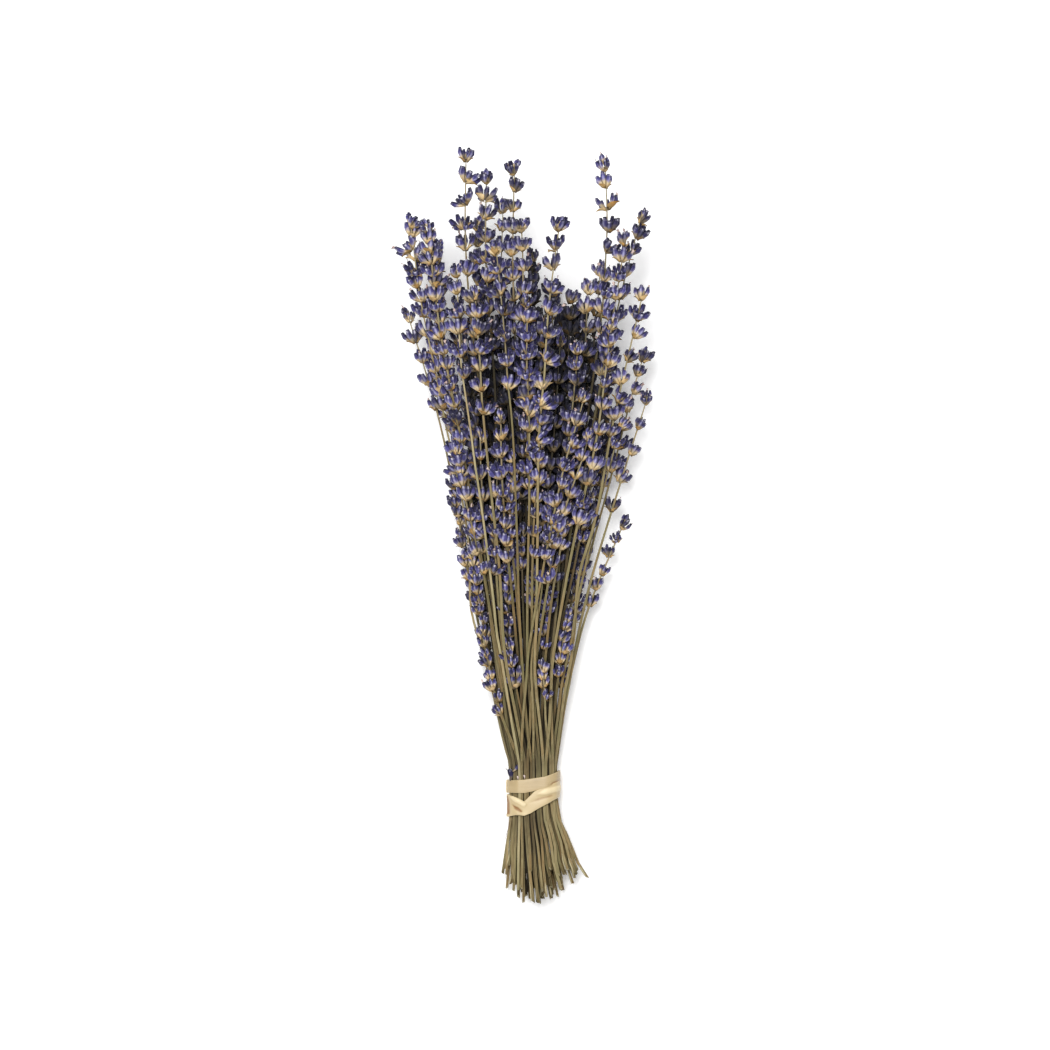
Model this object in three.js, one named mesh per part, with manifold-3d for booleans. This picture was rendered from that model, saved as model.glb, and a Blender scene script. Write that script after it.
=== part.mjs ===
// A bunch of dried lavender lying on a surface, with a flat rubber band wound twice round its stems.
// Millimetres. The heads point along +Y and +Z is up. The origin is on the flat spot under the band,
// where the bunch rests.
import * as THREE from "three";
import Module from "manifold-3d";

const wasm = await Module();
wasm.setup();

// The stems: square, a little thinner towards the tip. A radius is half the square's diagonal.
const STEM_RADIUS = 0.92;
const TIP_RADIUS = 0.6;
const BEND_ALLOWANCE = 0.55;
const LOOSE_SPACING = 14;

// The whorls: a crown of four calyces on a narrow base. Whorls low in the bunch are smaller.
const SMALL_WHORL = 3.2;
const WHORL_GROWTH = 0.01;
const WIDEST_WHORL = 5.2;
const CROWN_HEIGHT = 6;
const CROWN_SHARE = 0.8; // of the way to the next whorl
const VALLEY_RADIUS = 0.42; // of the crown's
const VALLEY_HEIGHT = 0.62;
const TOP_WHORL = 0.7;
const SECOND_WHORL = 0.9;
const SPIKE_TIP = 1.4;

// The band. The first turn lies over the second one on the right and underneath, by a lift.
const BAND_THICKNESS = 1;
const BAND_GAP = 0.25;
const BAND_LIFT = 0.95;
const BAND_STEP = 2.6;
const BAND_TURN = 0.4;

// The bundle at the band: rows of stems, from the top row down, each a number of touching pairs.
const ROW_PAIRS = [5, 7, 8, 8, 8, 7, 5];
const ROW_PITCH = 1.95;
const MATE_PITCH = 1.18;
const PAIR_PITCH = 2.98;
const ROW_SHIFT = 0.3;
const BUNDLE_SIDE = -0.4;
const BUNDLE_UNDERSIDE = BAND_GAP + BAND_LIFT + BAND_THICKNESS;
const BUNDLE_CENTRE =
  BUNDLE_UNDERSIDE + STEM_RADIUS * Math.SQRT1_2 + (ROW_PITCH * (ROW_PAIRS.length - 1)) / 2;

// The outline of the bunch, from the band to the heads, and of the cut ends below the band.
const HALF_WIDTH = 13;
const WIDENING = 0.2;
const HALF_HEIGHT = 7.2;
const THICKENING = 0.096;
const LEAN = -1;
const BOW = -3;
const BOW_LENGTH = 190;
const BOW_PEAK = 6.75; // makes the bow's curve 1 where it is widest
const RAISED_LENGTH = 60; // from the band to where the bunch's underside is down on the surface
const START_SLOPE = 0.7; // of a stem's mean slope, where it leaves the band
const FLARE_SLOPE = 1.25; // of the same, at its lowest whorl
const CUT_LENGTH = 53;
const CUT_ROUNDING = 8;
const CUT_VARIATION = 9;
const CUT_SPREAD = 1.68;
const CUT_SHIFT = 4.8;
const CUT_THICKENING = 0.06;

// Stems keep clear of each other at levels a step apart along Y. Between the bound levels they are
// packed at the band. In each round they push apart and are evened out, and in the first rounds they
// are also pulled back to their own course, each as firmly as its hold.
const LOWEST = -60;
const HIGHEST = 324;
const STEP = 4;
const BOUND_LOW = -16;
const BOUND_HIGH = 12;
const LOOSENING = 17;
const TIED_APART = 2.25;
const CLEARANCE = 0.5;
const LEAN_ALLOWANCE = 0.9;
const ROUNDS = 240;
const PULL_ROUNDS = 100;
const PUSH = 0.45;
const PULL = 0.04;
const LEAST_HOLD = 0.3;
const SHOWN_HOLD = 0.6;
const HIDDEN_HOLD = 0.1;
const FIRST_EVENING = 0.5;
const LAST_EVENING = 0.15;
const FLOOR_GAP = 0.05;

// Each half turn as places along it: x, and the y of its upper and its lower edge there.
const FIRST_FRONT = [
  [-12, 4.5, -1.8],
  [-4.5, 5, -1.8],
  [0, 5.7, -0.8],
  [5.5, 6.6, 0.6],
  [9.5, 8.3, 2.4],
  [12, 9.8, 4],
];
const FIRST_UNDER = [
  [-12, -2.6, -13.8],
  [-9, -2.2, -10.6],
  [0, 3.2, -3.6],
  [12, 9.8, 4],
];
const SECOND_FRONT = [
  [-12, -2.6, -13.8],
  [-8.5, -4.2, -12.6],
  [-5, -6.4, -13],
  [-2, -3.4, -12],
  [0.5, -0.9, -10.4],
  [5.5, 1, -7.6],
  [12, 4.6, -3.4],
];
const SECOND_UNDER = [
  [-12, 4.5, -1.8],
  [12, 4.6, -3.4],
];
// The first turn's lift along x.
const LIFT_FRONT = [
  [-2, 0],
  [5, BAND_LIFT],
];
const LIFT_UNDER = [
  [-11, 0],
  [-7.4, BAND_LIFT],
];

// The stems that show from above. tip is the top of the spike and low its lowest whorl, both as x, y.
// depth is 1 on top of the bunch and -1 under it, and foot is the stem's x at the band where that
// isn't in line with low.
const SHOWN = [
  { tip: [-61, 289], low: [-57, 245], whorls: 6, depth: 0.5 },
  { tip: [-52.5, 286], low: [-47, 227], whorls: 7, depth: 0.7 },
  { tip: [-46, 276], low: [-49, 216], whorls: 7, depth: 0.3 },
  { tip: [-65.5, 243], low: [-48, 191], whorls: 5, depth: 0.1 },
  { tip: [-33.5, 320], low: [-33, 245], whorls: 7, depth: 0.6 },
  { tip: [-37, 264], low: [-35.5, 206], whorls: 6, depth: 0.95 },
  { tip: [-23, 311], low: [-25, 264], whorls: 5, depth: 0.5 },
  { tip: [-29.5, 252], low: [-26, 189], whorls: 7, depth: 0.95 },
  { tip: [-9.5, 315], low: [-10.5, 255], whorls: 6, depth: 0.6, foot: -4 },
  { tip: [-6.5, 286], low: [-5, 236], whorls: 5, depth: 0.8 },
  { tip: [-19.5, 275], low: [-12, 201], whorls: 7, depth: 0.95 },
  { tip: [-1.5, 272], low: [-0.5, 243], whorls: 4, depth: 0.1 },
  { tip: [-3, 249], low: [-1.5, 196], whorls: 6, depth: 0.9 },
  { tip: [14, 286], low: [2, 202], whorls: 8, depth: 0.95 },
  { tip: [5.5, 201], low: [0.5, 162], whorls: 5, depth: 0.9 },
  { tip: [19.5, 251], low: [20.5, 219], whorls: 4, depth: 0.2 },
  { tip: [21.5, 225], low: [19, 195], whorls: 4, depth: 0.7 },
  { tip: [34.5, 318], low: [37.5, 256], whorls: 6, depth: 0.5 },
  { tip: [44, 280], low: [39, 235], whorls: 5, depth: 0.6 },
  { tip: [39, 239], low: [31.5, 179], whorls: 6, depth: 0.95 },
  { tip: [55.5, 292], low: [40, 236], whorls: 6, depth: 0.2 },
  { tip: [55.5, 253], low: [44, 204], whorls: 5, depth: 0.6 },
  { tip: [56.5, 223], low: [48, 190], whorls: 4, depth: -0.2 },
  { tip: [57, 201], low: [40.5, 140], whorls: 5, depth: 0.2 },
  { tip: [51, 139], low: [28, 92], whorls: 6, depth: 0.1 },
  { tip: [28, 201], low: [14.5, 161], whorls: 4, depth: 0.95, foot: -7.5 },
  { tip: [33, 182], low: [17.5, 147], whorls: 4, depth: 0.9, foot: -4 },
  { tip: [11, 151], low: [8.5, 129], whorls: 3, depth: 0.9, foot: -2 },
  { tip: [21.5, 145], low: [13, 122], whorls: 3, depth: 0.85, foot: 0 },
  { tip: [-9.5, 171], low: [-8, 121], whorls: 6, depth: 0.85, foot: -5 },
  { tip: [-16.5, 175], low: [-18.5, 136], whorls: 4, depth: 0.85, foot: -9 },
  { tip: [-36, 176], low: [-32, 145], whorls: 4, depth: 0.9, foot: -8.5 },
  { tip: [-9.5, 115], low: [-10.5, 72], whorls: 6, depth: 0.8 },
  { tip: [-21, 84], low: [-15, 39], whorls: 6, depth: 0.7 },
  { tip: [-38, 163], low: [-24, 95], whorls: 7, depth: 0.2 },
  { tip: [26, 115], low: [16, 52], whorls: 7, depth: 0.3 },
  { tip: [14.5, 116], low: [6, 72], whorls: 4, depth: 0.75 },
  { tip: [0.5, 114], low: [1.5, 92], whorls: 3, depth: 0.8 },
  { tip: [-15, 136], low: [-17, 108], whorls: 4, depth: 0.7 },
  { tip: [-44, 214], low: [-36, 172], whorls: 5, depth: 0.6 },
  { tip: [47, 199], low: [36.5, 160], whorls: 4, depth: 0.6 },
  { tip: [35, 169], low: [26, 125], whorls: 5, depth: 0.5 },
  { tip: [13, 230], low: [9.5, 170], whorls: 6, depth: 0.6 },
  { tip: [-13, 191], low: [-14.5, 157], whorls: 4, depth: 0.9 },
  { tip: [-6.5, 191], low: [-8, 156], whorls: 4, depth: 0.7 },
  { tip: [-23.5, 182], low: [-27, 145], whorls: 4, depth: 0.6 },
  { tip: [-4.5, 135], low: [-4, 112], whorls: 3, depth: 0.7 },
  { tip: [24, 188], low: [20, 150], whorls: 4, depth: 0.5 },
  { tip: [-14.5, 296], low: [-17, 240], whorls: 6, depth: 0.3 },
  { tip: [25.5, 256], low: [22.5, 206], whorls: 5, depth: 0.3 },
  { tip: [33, 266], low: [28, 214], whorls: 5, depth: 0 },
  { tip: [-27, 288], low: [-29, 232], whorls: 6, depth: 0.1 },
  { tip: [9, 67], low: [5, 46], whorls: 3, depth: 0.8 },
  { tip: [-5.5, 78], low: [-8, 52], whorls: 3, depth: 0.8 },
  { tip: [-29, 124], low: [-21, 78], whorls: 5, depth: 0.35 },
  { tip: [-19, 71], low: [-14, 45], whorls: 3, depth: 0.2 },
  { tip: [23, 92], low: [15, 58], whorls: 4, depth: 0.5 },
  { tip: [-33, 152], low: [-26, 112], whorls: 5, depth: 0 },
  { tip: [27, 148], low: [20, 104], whorls: 5, depth: 0.1 },
];

// The stems inside and under the bunch are spread evenly over its section, with seeded lengths.
const HIDDEN_SHORTEST = 126;
const HIDDEN_REACH = 132;
const HIDDEN_CROWDING = 0.6; // less than 1 puts more of the tips high up
const HIDDEN_SPIKE = 42;
const HIDDEN_VARIATION = 16;
const WHORL_SPACING = 12.6;
const GOLDEN_ANGLE = 2.399963229728653;
const SECTION_FILL = 0.8;
const HIDDEN_DROP = 0.22;

const COLOURS = { stems: "#8f8458", band: "#dcbf90" };

// The minimal standard generator, so that every run gives the same bunch.
let seed = 20417;
function random() {
  seed = (seed * 16807) % 2147483647;
  return seed / 2147483647;
}

const clamp = (value, low, high) => Math.min(high, Math.max(low, value));
const mix = (a, b, share) => a + (b - a) * share;
const halfWidth = (y) => HALF_WIDTH + WIDENING * Math.max(y, 0);
const halfHeight = (y) => HALF_HEIGHT + (y > 0 ? THICKENING * y : -CUT_THICKENING * y);

// How far the bunch bends sideways between the band and the heads.
function bow(y) {
  const share = clamp((y - BOUND_HIGH) / BOW_LENGTH, 0, 1);
  return BOW * BOW_PEAK * share * (1 - share) * (1 - share);
}

// Height of the bunch's middle above the surface.
const middleZ = (y) =>
  halfHeight(y) + (BUNDLE_CENTRE - HALF_HEIGHT) * clamp(1 - y / RAISED_LENGTH, 0, 1);

// Height above the surface of a stem that is at x and y, from its depth in the bunch.
function heightAt(x, y, depth) {
  const side = clamp((x - LEAN) / halfWidth(y), -1, 1);
  return middleZ(y) + halfHeight(y) * Math.sqrt(1 - side * side) * depth;
}

// A whorl is its base along Y, the height of its crown and the crown's radius.
function whorlsOf(low, tip, count, startAngle) {
  const whorls = [];
  const span = tip - CROWN_HEIGHT - SPIKE_TIP - low;
  for (let i = 0; i < count; i++) {
    const share = i / (count - 1);
    const base = low + span * share * (1.15 - 0.15 * share);
    const fromTop = count - 1 - i;
    const taper = fromTop === 0 ? TOP_WHORL : fromTop === 1 ? SECOND_WHORL : 1;
    const radius = Math.min(SMALL_WHORL + WHORL_GROWTH * base, WIDEST_WHORL) * taper;
    const height = Math.min(CROWN_HEIGHT, (CROWN_SHARE * span) / (count - 1));
    whorls.push({ base, height, radius, angle: startAngle + (i * Math.PI) / 4 });
  }
  return whorls;
}

function shownStems() {
  return SHOWN.map(({ tip, low, whorls, depth, foot }) => {
    const side = (low[0] - LEAN) / halfWidth(low[1]);
    return {
      tip,
      low,
      depth,
      foot: foot ?? side * HALF_WIDTH,
      hold: SHOWN_HOLD,
      lobed: true,
      whorls: whorlsOf(low[1], tip[1], whorls, random() * Math.PI),
    };
  });
}

function hiddenStems(count) {
  const stems = [];
  for (let i = 0; i < count; i++) {
    const reach = SECTION_FILL * Math.sqrt((i + 0.5) / count);
    const across = reach * Math.cos(i * GOLDEN_ANGLE);
    const depth = clamp(reach * Math.sin(i * GOLDEN_ANGLE) - HIDDEN_DROP, -0.95, 0.95);
    const tipY = HIDDEN_SHORTEST + HIDDEN_REACH * Math.pow(random(), HIDDEN_CROWDING);
    const lowY = tipY - HIDDEN_SPIKE - HIDDEN_VARIATION * random();
    const tip = [LEAN + across * halfWidth(tipY), tipY];
    const low = [LEAN + across * halfWidth(lowY), lowY];
    const number = Math.round((tipY - CROWN_HEIGHT - lowY) / WHORL_SPACING) + 1;
    const whorls = whorlsOf(lowY, tipY, number, random() * Math.PI);
    stems.push({ tip, low, depth, foot: across * HALF_WIDTH, hold: HIDDEN_HOLD, whorls });
  }
  return stems;
}

// Gives each stem its place in the bundle: row by row from the top of the bunch, and along a row from
// left to right. Stems 2i and 2i + 1 of the result are a pair.
function seated(stems) {
  const deepestLast = [...stems].sort((a, b) => b.depth - a.depth);
  const placed = [];
  ROW_PAIRS.forEach((pairs, row) => {
    const inRow = deepestLast.splice(0, 2 * pairs).sort((a, b) => a.foot - b.foot);
    const z = BUNDLE_CENTRE + ROW_PITCH * ((ROW_PAIRS.length - 1) / 2 - row);
    const shift = row % 2 ? ROW_SHIFT : -ROW_SHIFT;
    inRow.forEach((stem, i) => {
      const pair = Math.floor(i / 2);
      const mate = (i % 2 ? 0.5 : -0.5) * MATE_PITCH;
      const x = (pair - (pairs - 1) / 2) * PAIR_PITCH + mate + shift + BUNDLE_SIDE;
      const edge = x / HALF_WIDTH;
      const end = CUT_ROUNDING * edge * edge - CUT_LENGTH - CUT_VARIATION * (random() - 0.5);
      placed.push({ ...stem, seat: [x, z], end });
    });
  });
  return placed;
}

// A cubic from a to b along Y with the given slopes.
function eased(y, [xa, ya], [xb, yb], slopeA, slopeB) {
  const run = yb - ya;
  const t = (y - ya) / run;
  const u = 1 - t;
  return (
    u * u * (1 + 2 * t) * xa + t * t * (3 - 2 * t) * xb + t * u * run * (u * slopeA - t * slopeB)
  );
}

// Where a stem would run, at a level, if nothing were in its way.
function freeCourse(stem, y) {
  const [x, z] = stem.seat;
  if (y < BOUND_LOW) {
    const share = (BOUND_LOW - y) / (BOUND_LOW + CUT_LENGTH);
    const fallen = middleZ(y) + ((z - BUNDLE_CENTRE) * halfHeight(y)) / HALF_HEIGHT;
    return [mix(x, x * CUT_SPREAD + CUT_SHIFT, share), mix(z, fallen, Math.min(share, 1))];
  }
  if (y <= BOUND_HIGH) return [x, z];
  const { low, tip } = stem;
  const chord = (low[0] - x) / (low[1] - BOUND_HIGH);
  const spike = (tip[0] - low[0]) / (tip[1] - low[1]);
  const flare = chord * FLARE_SLOPE;
  const across =
    y < low[1]
      ? eased(y, [x, BOUND_HIGH], low, chord * START_SLOPE, flare)
      : eased(y, low, tip, flare, spike);
  const seatDepth = (z - BUNDLE_CENTRE) / HALF_HEIGHT;
  const share = Math.min(1, (y - BOUND_HIGH) / (low[1] - BOUND_HIGH));
  const open = middleZ(y) + halfHeight(y) * seatDepth;
  return [across + bow(y), mix(open, heightAt(across, y, stem.depth), share * (2 - share))];
}

// How far a stem reaches from its middle at a level, with its whorls.
function reachAt(stem, y) {
  let reach = STEM_RADIUS;
  stem.whorls.forEach(({ base, height, radius }, i) => {
    const next = stem.whorls[i + 1];
    const nextBase = next ? next.base : stem.tip[1];
    for (const at of [y - STEP / 2 - LEAN_ALLOWANCE, y, y + STEP / 2 + LEAN_ALLOWANCE]) {
      const rising = (at - base) / height;
      const falling = (nextBase - at) / (nextBase - base - height);
      reach = Math.max(reach, mix(STEM_RADIUS, radius, Math.min(rising, falling, 1)));
    }
  });
  return reach;
}

// Moves the stems apart at every level until none meets another, while each stays smooth. Gives each
// stem its x and z at the levels.
function spacedOut(stems) {
  const levels = [];
  for (let y = LOWEST; y <= HIGHEST; y += STEP) levels.push(y);
  const courses = stems.map((stem) => levels.map((y) => freeCourse(stem, y)));
  const goals = courses.map((course) => course.map((point) => [...point]));
  const reaches = stems.map((stem) => levels.map((y) => reachAt(stem, y)));
  const bound = (k) => levels[k] >= BOUND_LOW && levels[k] <= BOUND_HIGH;
  const loosened = (y) => clamp(Math.max(BOUND_LOW - y, y - BOUND_HIGH) / LOOSENING, 0, 1);
  const placed = (i) => Math.floor(i / 2);
  const there = (i, k) => levels[k] >= stems[i].end - STEP && levels[k] <= stems[i].tip[1] + STEP;

  for (let round = 0; round < ROUNDS; round++) {
    for (let k = 0; k < levels.length; k++) {
      if (bound(k)) continue;
      const near = stems.map((_, i) => i).filter((i) => there(i, k));
      const moves = new Map(near.map((i) => [i, [0, 0]]));
      for (let a = 0; a < near.length; a++)
        for (let b = a + 1; b < near.length; b++) {
          const [i, j] = [near[a], near[b]];
          const dx = courses[j][k][0] - courses[i][k][0];
          const dz = courses[j][k][1] - courses[i][k][1];
          const tied = placed(i) === placed(j) ? MATE_PITCH : TIED_APART;
          const wanted = mix(tied, reaches[i][k] + reaches[j][k] + CLEARANCE, loosened(levels[k]));
          const apart = Math.sqrt(dx * dx + dz * dz);
          if (apart >= wanted) continue;
          const push = (PUSH * (wanted - apart)) / Math.max(apart, 1e-6);
          const [mi, mj] = [moves.get(i), moves.get(j)];
          mi[0] -= push * dx * (1 - stems[i].hold);
          mi[1] -= push * dz;
          mj[0] += push * dx * (1 - stems[j].hold);
          mj[1] += push * dz;
        }
      for (const i of near) {
        const [x, z] = courses[i][k];
        const [mx, mz] = moves.get(i);
        courses[i][k] = [x + mx, Math.max(z + mz, reaches[i][k] + FLOOR_GAP)];
      }
    }
    const [pull, evening] = round < PULL_ROUNDS ? [PULL, FIRST_EVENING] : [0, LAST_EVENING];
    courses.forEach((course, i) => {
      const before = course.map((point) => [...point]);
      for (let k = 1; k < levels.length - 1; k++) {
        if (bound(k)) continue;
        const share = pull * (LEAST_HOLD + stems[i].hold);
        for (const axis of [0, 1]) {
          const even = (before[k - 1][axis] + before[k + 1][axis]) / 2;
          const smooth = mix(before[k][axis], even, evening);
          course[k][axis] = mix(smooth, goals[i][k][axis], share);
        }
      }
    });
  }
  return courses;
}

// Value of a row of [x, ...values] at x, straight between its places and level beyond them.
function along(row, x, column) {
  const after = row.findIndex((place) => place[0] > x);
  if (after === 0) return row[0][column];
  if (after < 0) return row[row.length - 1][column];
  const [from, to] = [row[after - 1], row[after]];
  return mix(from[column], to[column], (x - from[0]) / (to[0] - from[0]));
}

// The stem's x and z between the levels.
function middleAt(course, y) {
  const place = clamp((y - LOWEST) / STEP, 0, course.length - 1.001);
  const k = Math.floor(place);
  return [0, 1].map((axis) => mix(course[k][axis], course[k + 1][axis], place - k));
}

// The fewest places along y that keep a straight line near the stem's course.
function bareSteps(course, from, to) {
  let [worst, place] = [BEND_ALLOWANCE, null];
  const [start, stop] = [middleAt(course, from), middleAt(course, to)];
  for (let y = from + 1; y < to; y++) {
    const share = (y - from) / (to - from);
    const [x, z] = middleAt(course, y);
    const off = Math.hypot(mix(start[0], stop[0], share) - x, mix(start[1], stop[1], share) - z);
    if (off > worst) [worst, place] = [off, y];
  }
  if (place === null) return [to];
  return [...bareSteps(course, from, place), ...bareSteps(course, place, to)];
}

// Four corners of the square stem, as angle, radius and y.
const squareRing = (y, radius, angle) =>
  [0, 1, 2, 3].map((corner) => [angle + (corner * Math.PI) / 2, radius, y]);

// Four calyces, with valleys between them on the spikes that show.
function crownRing({ base, height, radius, angle }, lobed) {
  if (!lobed) return squareRing(base + height, radius, angle);
  const ring = [];
  for (let corner = 0; corner < 4; corner++) {
    const lobe = angle + ((corner + 0.5) * Math.PI) / 2;
    ring.push([lobe - Math.PI / 4, radius * VALLEY_RADIUS, base + height * VALLEY_HEIGHT]);
    ring.push([lobe, radius, base + height]);
  }
  return ring;
}

// One stem with its whorls as a solid: rings of corners from the cut end to the tip.
function stemSolid(stem, course) {
  const level = Math.PI / 4;
  const [first] = stem.whorls;
  const start = level + ((((first.angle - level) % (Math.PI / 2)) + Math.PI / 2) % (Math.PI / 2));
  const turned = (angle) => angle - first.angle + start;
  const radiusAt = (y) => mix(STEM_RADIUS, TIP_RADIUS, clamp(y / stem.tip[1], 0, 1));

  const rings = [squareRing(stem.end, STEM_RADIUS, level)];
  const stops = [
    ...bareSteps(course, stem.end, BOUND_LOW - STEP),
    BOUND_LOW,
    BOUND_HIGH,
    BOUND_HIGH + STEP,
    ...bareSteps(course, BOUND_HIGH + STEP, first.base).slice(0, -1),
  ];
  for (const y of stops) rings.push(squareRing(y, radiusAt(y), level));
  stem.whorls.forEach((whorl, i) => {
    const { base, height, angle } = whorl;
    rings.push(squareRing(base, radiusAt(base), turned(angle)));
    rings.push(crownRing({ ...whorl, angle: turned(angle) }, stem.lobed));
    const next = stem.whorls[i + 1];
    if (next && next.base - base > LOOSE_SPACING)
      rings.push(squareRing(base + height + 1, radiusAt(base), turned(next.angle)));
  });
  return loft(rings, course, stem.tip[1]);
}

// Joins rings of 4 or 8 corners, a flat cap at the first and a point at the end.
function loft(rings, course, tip) {
  const corners = [];
  const faces = [];
  const starts = rings.map((ring) => {
    const start = corners.length / 3;
    for (const [angle, radius, y] of ring) {
      const [x, z] = middleAt(course, y);
      corners.push(x + radius * Math.cos(angle), y, z + radius * Math.sin(angle));
    }
    return start;
  });
  faces.push([0, 1, 2], [0, 2, 3]);
  for (let r = 0; r + 1 < rings.length; r++) {
    const [lower, upper] = [rings[r].length, rings[r + 1].length];
    const most = Math.max(lower, upper);
    for (let i = 0; i < most; i++) {
      const a = starts[r] + Math.floor((i * lower) / most);
      const b = starts[r] + (Math.floor(((i + 1) * lower) / most) % lower);
      const c = starts[r + 1] + Math.floor((i * upper) / most);
      const d = starts[r + 1] + (Math.floor(((i + 1) * upper) / most) % upper);
      if (a !== b) faces.push([a, d, b]);
      if (c !== d) faces.push([a, c, d]);
    }
  }
  const [x, z] = middleAt(course, tip);
  const apex = corners.length / 3;
  corners.push(x, tip, z);
  const last = starts[starts.length - 1];
  const around = apex - last;
  for (let i = 0; i < around; i++) faces.push([last + i, apex, last + ((i + 1) % around)]);
  return solid(corners, faces);
}

const solid = (corners, faces) =>
  new wasm.Manifold(
    new wasm.Mesh({
      numProp: 3,
      vertProperties: new Float32Array(corners),
      triVerts: new Uint32Array(faces.flat()),
    }),
  );

// The corners of the bundle's outline at the band, in order round it from the left over the top.
function bundleOutline(stems) {
  const half = STEM_RADIUS * Math.SQRT1_2;
  const corners = stems
    .flatMap(({ seat: [x, z] }) => [-half, half].flatMap((a) => [-half, half].map((b) => [x + a, z + b])))
    .sort((a, b) => a[0] - b[0] || a[1] - b[1]);
  const outward = ([ax, az], [bx, bz], [cx, cz]) =>
    (bx - ax) * (cz - az) - (bz - az) * (cx - ax) < -1e-6;
  const side = (points) => {
    const chain = [];
    for (const point of points) {
      while (chain.length > 1 && !outward(chain[chain.length - 2], chain[chain.length - 1], point))
        chain.pop();
      chain.push(point);
    }
    return chain.slice(0, -1);
  };
  return [...side(corners), ...side([...corners].reverse())];
}

// Places round the bundle where the band lies, from the left over the top, and the way it faces
// there: pi on the left, 0 on the right and -pi on the left again.
function bandPlaces(stems) {
  const outline = bundleOutline(stems);
  const places = [{ x: outline[0][0], z: outline[0][1], facing: Math.PI }];
  outline.forEach(([x, z], i) => {
    const [cornerX, cornerZ] = outline[(i + 1) % outline.length];
    const [nextX, nextZ] = outline[(i + 2) % outline.length];
    const { facing } = places[places.length - 1];
    const steps = Math.ceil(Math.hypot(cornerX - x, cornerZ - z) / BAND_STEP);
    for (let k = 1; k <= steps; k++)
      places.push({ x: mix(x, cornerX, k / steps), z: mix(z, cornerZ, k / steps), facing });
    const next = Math.atan2(nextX - cornerX, cornerZ - nextZ);
    const turn = (facing - next + 2 * Math.PI) % (2 * Math.PI);
    const turns = Math.max(1, Math.round(turn / BAND_TURN));
    for (let k = 1; k <= turns; k++)
      places.push({ x: cornerX, z: cornerZ, facing: facing - (turn * k) / turns });
  });
  return places;
}

// One turn of the band, from the left over the top and under the bundle, and a little further.
function bandTurn(places, front, under, liftFront, liftUnder) {
  const lap = { ...places[1], facing: -Math.PI };
  const corners = [];
  const faces = [];
  [...places, lap].forEach(({ x, z, facing }, i) => {
    const rows = facing > 0 ? front : under;
    const lift = along(facing > 0 ? liftFront : liftUnder, x, 1);
    for (const [out, column] of [[0, 1], [BAND_THICKNESS, 1], [BAND_THICKNESS, 2], [0, 2]]) {
      const off = BAND_GAP + lift + out;
      corners.push(x + off * Math.cos(facing), along(rows, x, column), z + off * Math.sin(facing));
    }
    if (i === 0) return;
    for (let k = 0; k < 4; k++) {
      const [a, b] = [4 * (i - 1) + k, 4 * (i - 1) + ((k + 1) % 4)];
      faces.push([a, b, b + 4], [a, b + 4, a + 4]);
    }
  });
  const end = 4 * places.length;
  faces.push([0, 2, 1], [0, 3, 2], [end, end + 1, end + 2], [end, end + 2, end + 3]);
  return solid(corners, faces);
}

function mesh(manifold, name, colour) {
  const { numProp, vertProperties, triVerts } = manifold.getMesh();
  const geometry = new THREE.BufferGeometry();
  const corners = [];
  for (let i = 0; i < vertProperties.length; i += numProp)
    corners.push(vertProperties[i], vertProperties[i + 1], vertProperties[i + 2]);
  geometry.setAttribute("position", new THREE.Float32BufferAttribute(corners, 3));
  geometry.setIndex([...triVerts]);
  const part = new THREE.Mesh(geometry, new THREE.MeshStandardMaterial({ color: colour }));
  part.name = name;
  return part;
}

const places = 2 * ROW_PAIRS.reduce((sum, pairs) => sum + pairs, 0);
const stems = seated([...shownStems(), ...hiddenStems(places - SHOWN.length)]);
const courses = spacedOut(stems);
const solids = stems.map((stem, i) => stemSolid(stem, courses[i]));
const round = bandPlaces(stems);
const firstTurn = bandTurn(round, FIRST_FRONT, FIRST_UNDER, LIFT_FRONT, LIFT_UNDER);
const secondTurn = bandTurn(round, SECOND_FRONT, SECOND_UNDER, [[0, 0]], [[0, 0]]);

const group = new THREE.Group();
group.name = "lavender_bunch";
for (let i = 0; i < solids.length; i += 2) {
  const name = `stems_${String(i / 2 + 1).padStart(2, "0")}`;
  group.add(mesh(solids[i].add(solids[i + 1]), name, COLOURS.stems));
}
group.add(mesh(firstTurn.add(secondTurn), "tie_band", COLOURS.band));

export default group;
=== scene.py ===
# A bunch of dried lavender lying on a pale floor, with a flat rubber band wound twice round it.
# Lengths are millimetres while a piece is made, and metres once it is finished.

import math
import random

import bmesh
import bpy
import numpy as np
from mathutils import Matrix, Vector


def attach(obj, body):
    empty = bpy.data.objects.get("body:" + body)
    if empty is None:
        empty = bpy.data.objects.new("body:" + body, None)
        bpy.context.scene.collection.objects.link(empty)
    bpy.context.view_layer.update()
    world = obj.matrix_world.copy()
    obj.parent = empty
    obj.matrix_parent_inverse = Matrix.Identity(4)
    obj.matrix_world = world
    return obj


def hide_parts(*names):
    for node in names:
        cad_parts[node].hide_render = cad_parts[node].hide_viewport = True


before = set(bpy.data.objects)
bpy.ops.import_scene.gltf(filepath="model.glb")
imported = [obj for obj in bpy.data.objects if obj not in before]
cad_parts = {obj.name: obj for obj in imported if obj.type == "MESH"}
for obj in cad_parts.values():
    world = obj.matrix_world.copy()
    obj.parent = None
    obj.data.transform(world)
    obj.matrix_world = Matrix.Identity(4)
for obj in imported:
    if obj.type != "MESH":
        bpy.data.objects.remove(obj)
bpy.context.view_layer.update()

METRE = 0.001
TINY = 1e-6

# The stems and whorls, as in the solids
STEM_RADIUS = 0.92
SMALL_WHORL = 3.2
WHORL_GROWTH = 0.01
WIDEST_WHORL = 5.2
CROWN_HEIGHT = 6
CROWN_SHARE = 0.8
TOP_WHORL = 0.7
SECOND_WHORL = 0.9
SPIKE_TIP = 1.4
WHORL_CROWDING = 0.15

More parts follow.
